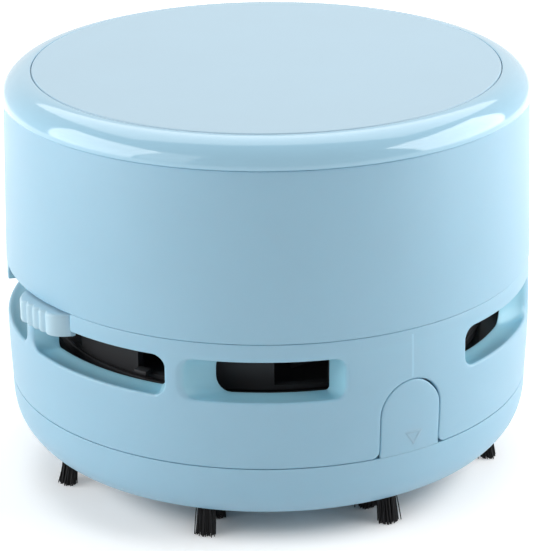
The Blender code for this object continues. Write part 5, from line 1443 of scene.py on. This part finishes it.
heights, edges = (DECK_LOW_HEIGHT, DECK_TOP_HEIGHT), (0.0, DECK_EDGE, DECK_EDGE, 0.0)
bm = turned(four_corners((0.0, FLANGE_RADIUS), heights, edges), TURN_STEPS // 2)
cuts = bmesh.new()
low, high = DECK_LOW_HEIGHT - CUT_OVERRUN, DECK_TOP_HEIGHT + CUT_OVERRUN
x, y = MOTOR_HALF_FLAT + WELL_MARGIN, MOTOR_RADIUS + WELL_MARGIN
add_block(cuts, (-x, -y, low), (x, y, high), DECK_EDGE)
add_switch_path(cuts, POST_PATH_DEPTH, low, high)
add_screw_holes(cuts, low, high)
bm = cut(bm, cuts)
low = DECK_TOP_HEIGHT - ROOT_DEPTH
back = WALL_FACE + WALL_THICKNESS
for near, far in (
    ((-WALL_OUTER_X, -back), (WALL_OUTER_X, -WALL_FACE)),
    ((WALL_INNER_X, WALL_FACE), (WALL_OUTER_X, back)),
    ((-WALL_OUTER_X, WALL_FACE), (-WALL_INNER_X, back)),
):
    add_block(bm, (*near, low), (*far, WALL_TOP_HEIGHT), DECK_EDGE)
seat = CELL_RADIUS + SEAT_CLEARANCE
high = DECK_TOP_HEIGHT + SADDLE_RISE
reach = math.acos((CELL_HEIGHT - high) / seat)
half = SADDLE_HALF_WIDTH
face = [(-half, low), (half, low), (half, high)]
for i in range(SADDLE_ARC_STEPS + 1):
    angle = reach * (1 - 2 * i / SADDLE_ARC_STEPS)
    face.append((seat * math.sin(angle), CELL_HEIGHT - seat * math.cos(angle)))
face.append((-half, high))
for middle_x in (-CELL_OFFSET, CELL_OFFSET):
    for middle_y in (-SADDLE_OFFSET, SADDLE_OFFSET):
        ends = (middle_y - SADDLE_THICKNESS / 2, middle_y + SADDLE_THICKNESS / 2)
        add_loft(bm, [[(middle_x + x, y, z) for x, z in face] for y in ends])
piece("battery_deck_plate", bm, black_plastic, "main_body", ["battery_deck"])

# Cells: two AA cells in plain green sleeves with bare nickel ends, laid head to tail, with a
# nickel contact plate at each end of them and a cone spring on each flat end.

CELL_BEVEL = 0.0007
CELL_SHRINK = 0.00012
CELL_BARE = 0.0011
CELL_STEPS = 96
NUB_RADIUS = 0.00275
NUB_LENGTH = 0.0013
NUB_BARE_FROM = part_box("battery_cell_left")[1].y - NUB_LENGTH - CELL_BARE
FLAT_BARE_FROM = -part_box("battery_cell_left")[0].y - CELL_BARE
CONTACT_EDGE = 0.00015
SPRING_WIRE_RADIUS = 0.0003
SPRING_WIDE_RADIUS = 0.0046
SPRING_NARROW_RADIUS = 0.0024
SPRING_TURNS = 3
SPRING_POINTS_PER_TURN = 30
SPRING_SIDES = 10
SPRING_GAP = 0.0003
NICKEL = (0.66, 0.64, 0.58)

nickel = moulded(
    "nickel", NICKEL, roughness=0.22, grain_size=0.0005, grain_depth=0.000003,
    patchiness=0.12, Metallic=1.0,
)
cell_sleeve = moulded(
    "cell_sleeve", (0.04, 0.15, 0.09), roughness=0.30, grain_size=0.0010, grain_depth=0.000006,
    patchiness=0.08, Coat_Weight=0.4,
)

# The sleeve's material turns to bare nickel near both ends of each cell. The cells lie head to
# tail, so the nub's end is the front one on the right and the rear one on the left.
tree = cell_sleeve.node_tree
x, y, _ = fed(tree, "ShaderNodeSeparateXYZ", (object_place(tree),)).outputs
to_nub = maths(tree, "MULTIPLY", maths(tree, "MULTIPLY", y, -1.0), maths(tree, "SIGN", x))
nub_bare = maths(tree, "GREATER_THAN", to_nub, NUB_BARE_FROM)
flat_bare = maths(tree, "LESS_THAN", to_nub, -FLAT_BARE_FROM)
bare = maths(tree, "MAXIMUM", nub_bare, flat_bare)
tinted(cell_sleeve, bare, NICKEL)
tree.links.new(bare, tree.nodes["Principled BSDF"].inputs["Metallic"])

for node, nub_end in (("battery_cell_left", 1), ("battery_cell_right", -1)):
    low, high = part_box(node)
    length = high.y - low.y
    can_top = length - NUB_LENGTH
    bare_radius = CELL_RADIUS - CELL_SHRINK
    bm = turned(
        [
            (0.0, length, 0.0),
            (NUB_RADIUS, length, CELL_BEVEL),
            (NUB_RADIUS, can_top, JOINT_EDGE),
            (bare_radius, can_top, CELL_BEVEL),
            (bare_radius, can_top - CELL_BARE, 0.0),
            (CELL_RADIUS, can_top - CELL_BARE - CELL_SHRINK, JOINT_EDGE / 2),
            (CELL_RADIUS, 0.0, CELL_BEVEL),
            (0.0, 0.0, 0.0),
        ],
        CELL_STEPS,
    )
    flat_end = low.y if nub_end > 0 else high.y
    foot = Matrix.Translation(((low.x + high.x) / 2, flat_end, (low.z + high.z) / 2))
    bm.transform(foot @ Matrix.Rotation(-nub_end * math.pi / 2, 4, "X"))
    piece(node + "_can", bm, cell_sleeve, "main_body", [node])

for node in ("contact_bridge", "contact_feed", "contact_return"):
    bm = bmesh.new()
    add_block(bm, *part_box(node), CONTACT_EDGE)
    piece(node + "_plate", bm, nickel, "main_body", [node])


def add_tube(bm, points, radius, sides):
    """A round wire along the points, with filled ends."""
    sections = []
    side = (points[1] - points[0]).orthogonal()
    turns = [math.tau * k / sides for k in range(sides)]
    for i, point in enumerate(points):
        ahead = (points[min(i + 1, len(points) - 1)] - points[max(i - 1, 0)]).normalized()
        side = (side - ahead * side.dot(ahead)).normalized()
        other = ahead.cross(side)
        sections.append([point + (side * math.cos(t) + other * math.sin(t)) * radius for t in turns])
    add_loft(bm, sections)


for node, side in (("battery_spring_left", -1), ("battery_spring_right", 1)):
    low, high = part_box(node)
    travel = high.y - low.y - 2 * SPRING_WIRE_RADIUS
    wide_end = low.y if side < 0 else high.y
    points = []
    for share in np.linspace(0.0, 1.0, SPRING_TURNS * SPRING_POINTS_PER_TURN + 1):
        angle = math.tau * SPRING_TURNS * share
        radius = SPRING_WIDE_RADIUS + share * (SPRING_NARROW_RADIUS - SPRING_WIDE_RADIUS)
        x, z = radius * math.cos(angle), -side * radius * math.sin(angle)
        y = wide_end - side * (SPRING_WIRE_RADIUS + share * travel)
        points.append(Vector((side * CELL_OFFSET + x, y, CELL_HEIGHT + z)))
    bm = bmesh.new()
    add_tube(bm, points, SPRING_WIRE_RADIUS, SPRING_SIDES)
    piece(node + "_coil", bm, nickel, "main_body", [node])

# Leads: three thin insulated wires that run from the contacts over the cells to the switch strips
# and the motor's terminals.

LEAD_RADIUS = 0.0005
LEAD_STEPS = 8
LEAD_SIDES = 14
# How far a lead has come at each of its points, as a share for each axis
FEED_SHARES = (
    (0.00, 0.000, 0.00), (0.26, 0.017, 0.03), (0.47, 0.108, 0.20), (0.65, 0.311, 0.63),
    (0.85, 0.587, 0.94), (1.00, 0.849, 1.00), (1.00, 1.000, 1.00),
)
RISE_SHARES = ((0.00, 0.00, 0.00), (0.01, 0.46, 0.17), (0.17, 0.87, 0.59), (0.54, 1.03, 0.93))
REACH_SHARES = (
    (0.00, 0.00, 0.00), (0.36, 0.19, 0.48), (0.59, 0.45, 0.88), (0.81, 0.74, 1.01), (1.00, 1.00, 1.00),
)
RETURN_SHARES = (
    (0.00, 0.00, 0.00), (0.13, 0.09, 0.23), (0.39, 0.32, 0.57),
    (0.64, 0.63, 0.89), (0.83, 0.88, 1.03), (1.00, 1.00, 1.00),
)
LEAD_AZIMUTH = -78.4
STRIP_RADII = ((0.0302, 0.0313), (0.0320, 0.0331))
STRIP_LEAD_HEIGHT = 0.0352
CONTACT_HALF_WIDTH = 0.0045
LEAD_TO_CONTACT = 0.0008
LEAD_BACK = 0.0282
CONTACT_TOP_HEIGHT = 0.0460
LEAD_DROP = 0.0010
LEAD_OVER_CELL = 0.0020
TERMINAL_TOP_HEIGHT = 0.0577
TERMINAL_OFFSET = 0.0060
TERMINAL_SIDE = 0.0018
TERMINAL_BACK = 0.00125

red_insulation = moulded(
    "red_insulation", (0.42, 0.02, 0.02), roughness=0.38, grain_size=0.0008, grain_depth=0.000003,
    patchiness=0.06,
)
black_insulation = moulded(
    "black_insulation", (0.02, 0.02, 0.02), roughness=0.38, grain_size=0.0008, grain_depth=0.000003,
    patchiness=0.06,
)


def between(first, last, shares):
    """Points part of the way from first to last."""
    return [Vector([a + (b - a) * s for a, b, s in zip(first, last, three)]) for three in shares]


def smooth_route(route):
    """Points along a Catmull-Rom curve through the route's own points."""
    knots = [2 * route[0] - route[1], *route, 2 * route[-1] - route[-2]]
    points = []
    for before, first, last, after in zip(knots, knots[1:], knots[2:], knots[3:]):
        for i in range(LEAD_STEPS):
            t = i / LEAD_STEPS
            points.append(0.5 * (
                2 * first + (last - before) * t
                + (2 * before - 5 * first + 4 * last - after) * t**2
                + (3 * first - before - 3 * last + after) * t**3
            ))
    return [*points, knots[-2]]


feed_end, switched_start = (
    polar(sum(radii) / 2, LEAD_AZIMUTH, STRIP_LEAD_HEIGHT) for radii in STRIP_RADII
)
reach = CONTACT_HALF_WIDTH + LEAD_TO_CONTACT
feed = between((-CELL_OFFSET - reach, LEAD_BACK, CELL_HEIGHT), feed_end, FEED_SHARES)
above = Vector((-CELL_OFFSET, LEAD_DROP, CELL_HEIGHT + CELL_RADIUS + LEAD_OVER_CELL))
front = (-TERMINAL_SIDE, LEAD_TO_CONTACT - TERMINAL_OFFSET, TERMINAL_TOP_HEIGHT)
switched = between(switched_start, above, RISE_SHARES) + between(above, front, REACH_SHARES)
start = (CELL_OFFSET - reach, LEAD_BACK, CONTACT_TOP_HEIGHT - LEAD_DROP)
rear = (0.0, TERMINAL_OFFSET + TERMINAL_BACK, TERMINAL_TOP_HEIGHT - SPRING_GAP)
returned = between(start, rear, RETURN_SHARES)
for node, route, insulation, slot in (
    ("lead_feed", feed, red_insulation, "red_insulation"),
    ("lead_switched", switched, red_insulation, "red_insulation"),
    ("lead_return", returned, black_insulation, "black_insulation"),
):
    bm = bmesh.new()
    add_tube(bm, smooth_route(route), LEAD_RADIUS, LEAD_SIDES)
    piece(node + "_wire", bm, insulation, "main_body", [node])

# Screws: three zinc-plated pan heads with crossed slots, from the deck through the housing's
# flange into the body's lugs.

SCREW_RADIUS = 0.0007
SCREW_HEAD_RADIUS = 0.0015
SCREW_HEAD_HEIGHT = 0.0010
SCREW_DOME = 0.0004
SLOT_WIDTH = 0.00045
SLOT_LENGTH = 0.0018
SLOT_DEPTH = 0.0005
SCREW_STEPS = 48

for i, azimuth in enumerate(LUG_AZIMUTHS):
    node = f"chassis_screw_{i + 1}"
    low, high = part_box(node)
    spot = polar(SCREW_CIRCLE_RADIUS, azimuth, 0.0)
    seat = high.z - SCREW_HEAD_HEIGHT
    screw = turned(
        [
            (0.0, high.z, 0.0),
            (SCREW_HEAD_RADIUS, high.z, SCREW_DOME),
            (SCREW_HEAD_RADIUS, seat, JOINT_EDGE),
            (SCREW_RADIUS, seat, 0.0),
            (SCREW_RADIUS, low.z, SCREW_DOME),
            (0.0, low.z, 0.0),
        ],
        SCREW_STEPS,
        spot,
    )
    for x, y, drop in ((SLOT_LENGTH, SLOT_WIDTH, 0.0), (SLOT_WIDTH, SLOT_LENGTH, JOINT_EDGE)):
        slot = bmesh.new()
        near = (spot.x - x / 2, spot.y - y / 2, high.z - SLOT_DEPTH + drop)
        far = (spot.x + x / 2, spot.y + y / 2, high.z + SLOT_DEPTH + drop)
        add_block(slot, near, far, 0.0)
        screw = cut(screw, slot)
    piece(node + "_pan", screw, zinc_steel, "main_body", [node])

# Switch: the knob is a paler moulding with ridges for the thumb and a smooth lobe at its right end.
# Its stem passes under the cover to a holder, whose copper wiper slides along two strips.

KNOB_AZIMUTHS = (-62.9, -45.6)
KNOB_END_ANGLE = 4.8
KNOB_LOBE_ANGLE = 5.0
KNOB_RIDGES = 3.5
KNOB_RADIUS = 0.0421
KNOB_RIDGE_DEPTH = 0.0005
KNOB_RIDGE_FALL = 0.0004
KNOB_END_DROP = 0.0022
KNOB_END_POWER = 1.6
KNOB_DIP_SHARE = 0.25
KNOB_BACK_RADIUS = 0.0386
KNOB_LOW_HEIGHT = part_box("switch_knob")[0].z
KNOB_TOP_HEIGHT = 0.0318
KNOB_LOW_ROUND = 0.0006
KNOB_TOP_ROUND = 0.0004
KNOB_STATIONS = 170
STEM_HEIGHTS = (0.0299, 0.0316)
POST_RADII = (0.0343, 0.0356)
POST_INSET_ANGLE = 0.25
HOLDER_AZIMUTHS = (-57.55, -50.95)
HOLDER_INNER_RADIUS = 0.0299
HOLDER_HEIGHTS = (0.0350, 0.0358)
WIPER_HEIGHTS = [corner.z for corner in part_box("switch_wiper")]
STRIP_HEIGHTS = [corner.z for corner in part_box("switch_strip_feed")]
STRIP_AZIMUTHS = ((-80.0, -50.0), (-80.0, -58.0))

pale_blue = moulded(
    "pale_blue", (0.50, 0.72, 0.84), roughness=0.34, grain_size=0.0002, grain_depth=0.000003,
)


def knob_radius(azimuth):
    """A rounded left end, ridges along the middle, and a smooth lobe at the right end."""
    ribbed, lobe = KNOB_AZIMUTHS[0] + KNOB_END_ANGLE, KNOB_AZIMUTHS[1] - KNOB_LOBE_ANGLE
    if azimuth < ribbed:
        return KNOB_RADIUS - KNOB_END_DROP * ((ribbed - azimuth) / KNOB_END_ANGLE) ** KNOB_END_POWER
    if azimuth < lobe:
        share = (azimuth - ribbed) / (lobe - ribbed)
        ridge = abs(math.cos(math.pi * KNOB_RIDGES * share))
        return KNOB_RADIUS - KNOB_RIDGE_DEPTH * (1 - ridge) - KNOB_RIDGE_FALL * share
    share = (azimuth - lobe) / KNOB_LOBE_ANGLE
    dip = KNOB_RIDGE_DEPTH * max(0.0, 1 - share / KNOB_DIP_SHARE) ** 2
    fall = KNOB_END_DROP * (max(0.0, share - KNOB_DIP_SHARE) / (1 - KNOB_DIP_SHARE)) ** 2
    return KNOB_RADIUS - KNOB_RIDGE_FALL - dip - fall


bm = bmesh.new()
sections = []
for azimuth in np.linspace(*KNOB_AZIMUTHS, KNOB_STATIONS):
    radius = knob_radius(azimuth)
    section = rounded(
        [
            (KNOB_BACK_RADIUS, KNOB_LOW_HEIGHT, JOINT_EDGE),
            (radius, KNOB_LOW_HEIGHT, KNOB_LOW_ROUND),
            (radius, KNOB_TOP_HEIGHT, KNOB_TOP_ROUND),
            (KNOB_BACK_RADIUS, KNOB_TOP_HEIGHT, JOINT_EDGE),
        ]
    )
    sections.append([polar(r, azimuth, z) for r, z in section])
add_loft(bm, sections)
add_arc_block(bm, (POST_RADII[0], KNOB_BACK_RADIUS + JOINT_EDGE), STEM_AZIMUTHS, STEM_HEIGHTS, JOINT_EDGE)
heights = (STEM_HEIGHTS[0] + JOINT_EDGE, HOLDER_HEIGHTS[1] - JOINT_EDGE)
azimuths = (STEM_AZIMUTHS[0] + POST_INSET_ANGLE, STEM_AZIMUTHS[1] - POST_INSET_ANGLE)
add_arc_block(bm, POST_RADII, azimuths, heights, JOINT_EDGE)
radii = (HOLDER_INNER_RADIUS, POST_RADII[1] - JOINT_EDGE)
add_arc_block(bm, radii, HOLDER_AZIMUTHS, HOLDER_HEIGHTS, JOINT_EDGE)
piece("switch_knob_slider", bm, pale_blue, "switch", ["switch_knob"])

bm = bmesh.new()
radii = (STRIP_RADII[0][0], STRIP_RADII[1][1])
add_arc_block(bm, radii, STEM_AZIMUTHS, WIPER_HEIGHTS, JOINT_EDGE / 2)
piece("switch_wiper_blade", bm, copper, "switch", ["switch_wiper"])
strips = ("switch_strip_feed", "switch_strip_motor")
for node, radii, azimuths in zip(strips, STRIP_RADII, STRIP_AZIMUTHS):
    bm = bmesh.new()
    add_arc_block(bm, radii, azimuths, STRIP_HEIGHTS, JOINT_EDGE / 2)
    piece(node + "_track", bm, copper, "main_body", [node])

# Cover: the upper shell in satin blue, the polished ring pressed into its shoulder and the matt
# disc let into the ring. All three are turned, and thin joint lines part them.

SHELL_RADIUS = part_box("upper_shell")[1].x
SHELL_TOP_RADIUS = 0.0392
SHELL_WALL = 0.0018
SHELL_FOOT_EDGE = 0.000156
SHELL_TOP_HEIGHT = 0.0570
OVERALL_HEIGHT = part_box("top_disc")[1].z
RING_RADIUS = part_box("gloss_ring")[1].x
RING_TOP_DROP = 0.0001
RING_SKIRT_DEPTH = 0.0030
RING_SKIRT_WALL = 0.0015
RING_LEDGE_WIDTH = 0.0037
RING_LEDGE_THICKNESS = 0.0010
RING_ARC_POINTS = 22
RING_FOOT_EDGE = 0.0002
COVER_CLEARANCE = 0.0003
DISC_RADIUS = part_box("top_disc")[1].x
DISC_THICKNESS = 0.0012
DISC_GAP = 0.00010
DISC_EDGE = 0.00025
GLOSS_BLUE = (0.345, 0.622, 0.795)
MATT_BLUE = (0.463, 0.643, 0.760)

gloss_blue = moulded(
    "gloss_blue", GLOSS_BLUE, roughness=0.10, grain_size=0.0030, grain_depth=0.000006,
    patchiness=0.03, Coat_Weight=0.6, Coat_Roughness=0.04,
)
matt_blue = moulded(
    "matt_blue", MATT_BLUE, roughness=0.50, grain_size=0.00018, grain_depth=0.000008,
)

low = SEAM_HEIGHT + COVER_GAP / 2
high = SHELL_TOP_HEIGHT - JOINT_GAP / 2
bm = turned(
    [
        (SHELL_RADIUS, low, SHELL_FOOT_EDGE),
        (SHELL_TOP_RADIUS, high, JOINT_EDGE),
        (SHELL_TOP_RADIUS - SHELL_WALL, high, JOINT_EDGE),
        (SHELL_RADIUS - SHELL_WALL, low, JOINT_EDGE),
    ]
)
piece("upper_shell_wall", bm, satin_blue, "cover", ["upper_shell"])

low = SHELL_TOP_HEIGHT + JOINT_GAP / 2
top = OVERALL_HEIGHT - RING_TOP_DROP
inner = DISC_RADIUS + DISC_GAP
ledge = OVERALL_HEIGHT - DISC_THICKNESS - COVER_CLEARANCE
ledge_inner = inner - RING_LEDGE_WIDTH
skirt = SHELL_TOP_RADIUS - SHELL_WALL - COVER_CLEARANCE
shoulder = []
for i in range(RING_ARC_POINTS + 1):
    angle = math.pi / 2 * i / RING_ARC_POINTS
    radius = inner + (RING_RADIUS - inner) * math.cos(angle)
    height = low + RING_FOOT_EDGE + (top - low - RING_FOOT_EDGE) * math.sin(angle)
    shoulder.append((radius, height, 0.0 if i < RING_ARC_POINTS else DISC_EDGE))
bm = turned(
    [
        (RING_RADIUS, low, RING_FOOT_EDGE),
        *shoulder,
        (inner, ledge, 0.0),
        (ledge_inner, ledge, 0.0),
        (ledge_inner, ledge - RING_LEDGE_THICKNESS, 0.0),
        (skirt - RING_SKIRT_WALL, ledge - RING_LEDGE_THICKNESS, INNER_FILLET),
        (skirt - RING_SKIRT_WALL, low - RING_SKIRT_DEPTH, JOINT_EDGE),
        (skirt, low - RING_SKIRT_DEPTH, JOINT_EDGE),
        (skirt, low, 0.0),
    ]
)
piece("gloss_ring_shoulder", bm, gloss_blue, "cover", ["gloss_ring"])

heights = (OVERALL_HEIGHT - DISC_THICKNESS, OVERALL_HEIGHT)
bm = turned(four_corners((0.0, DISC_RADIUS), heights, (0.0, JOINT_EDGE, DISC_EDGE, 0.0)))
piece("top_inlay_disc", bm, matt_blue, "cover", ["top_disc"])

low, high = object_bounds()
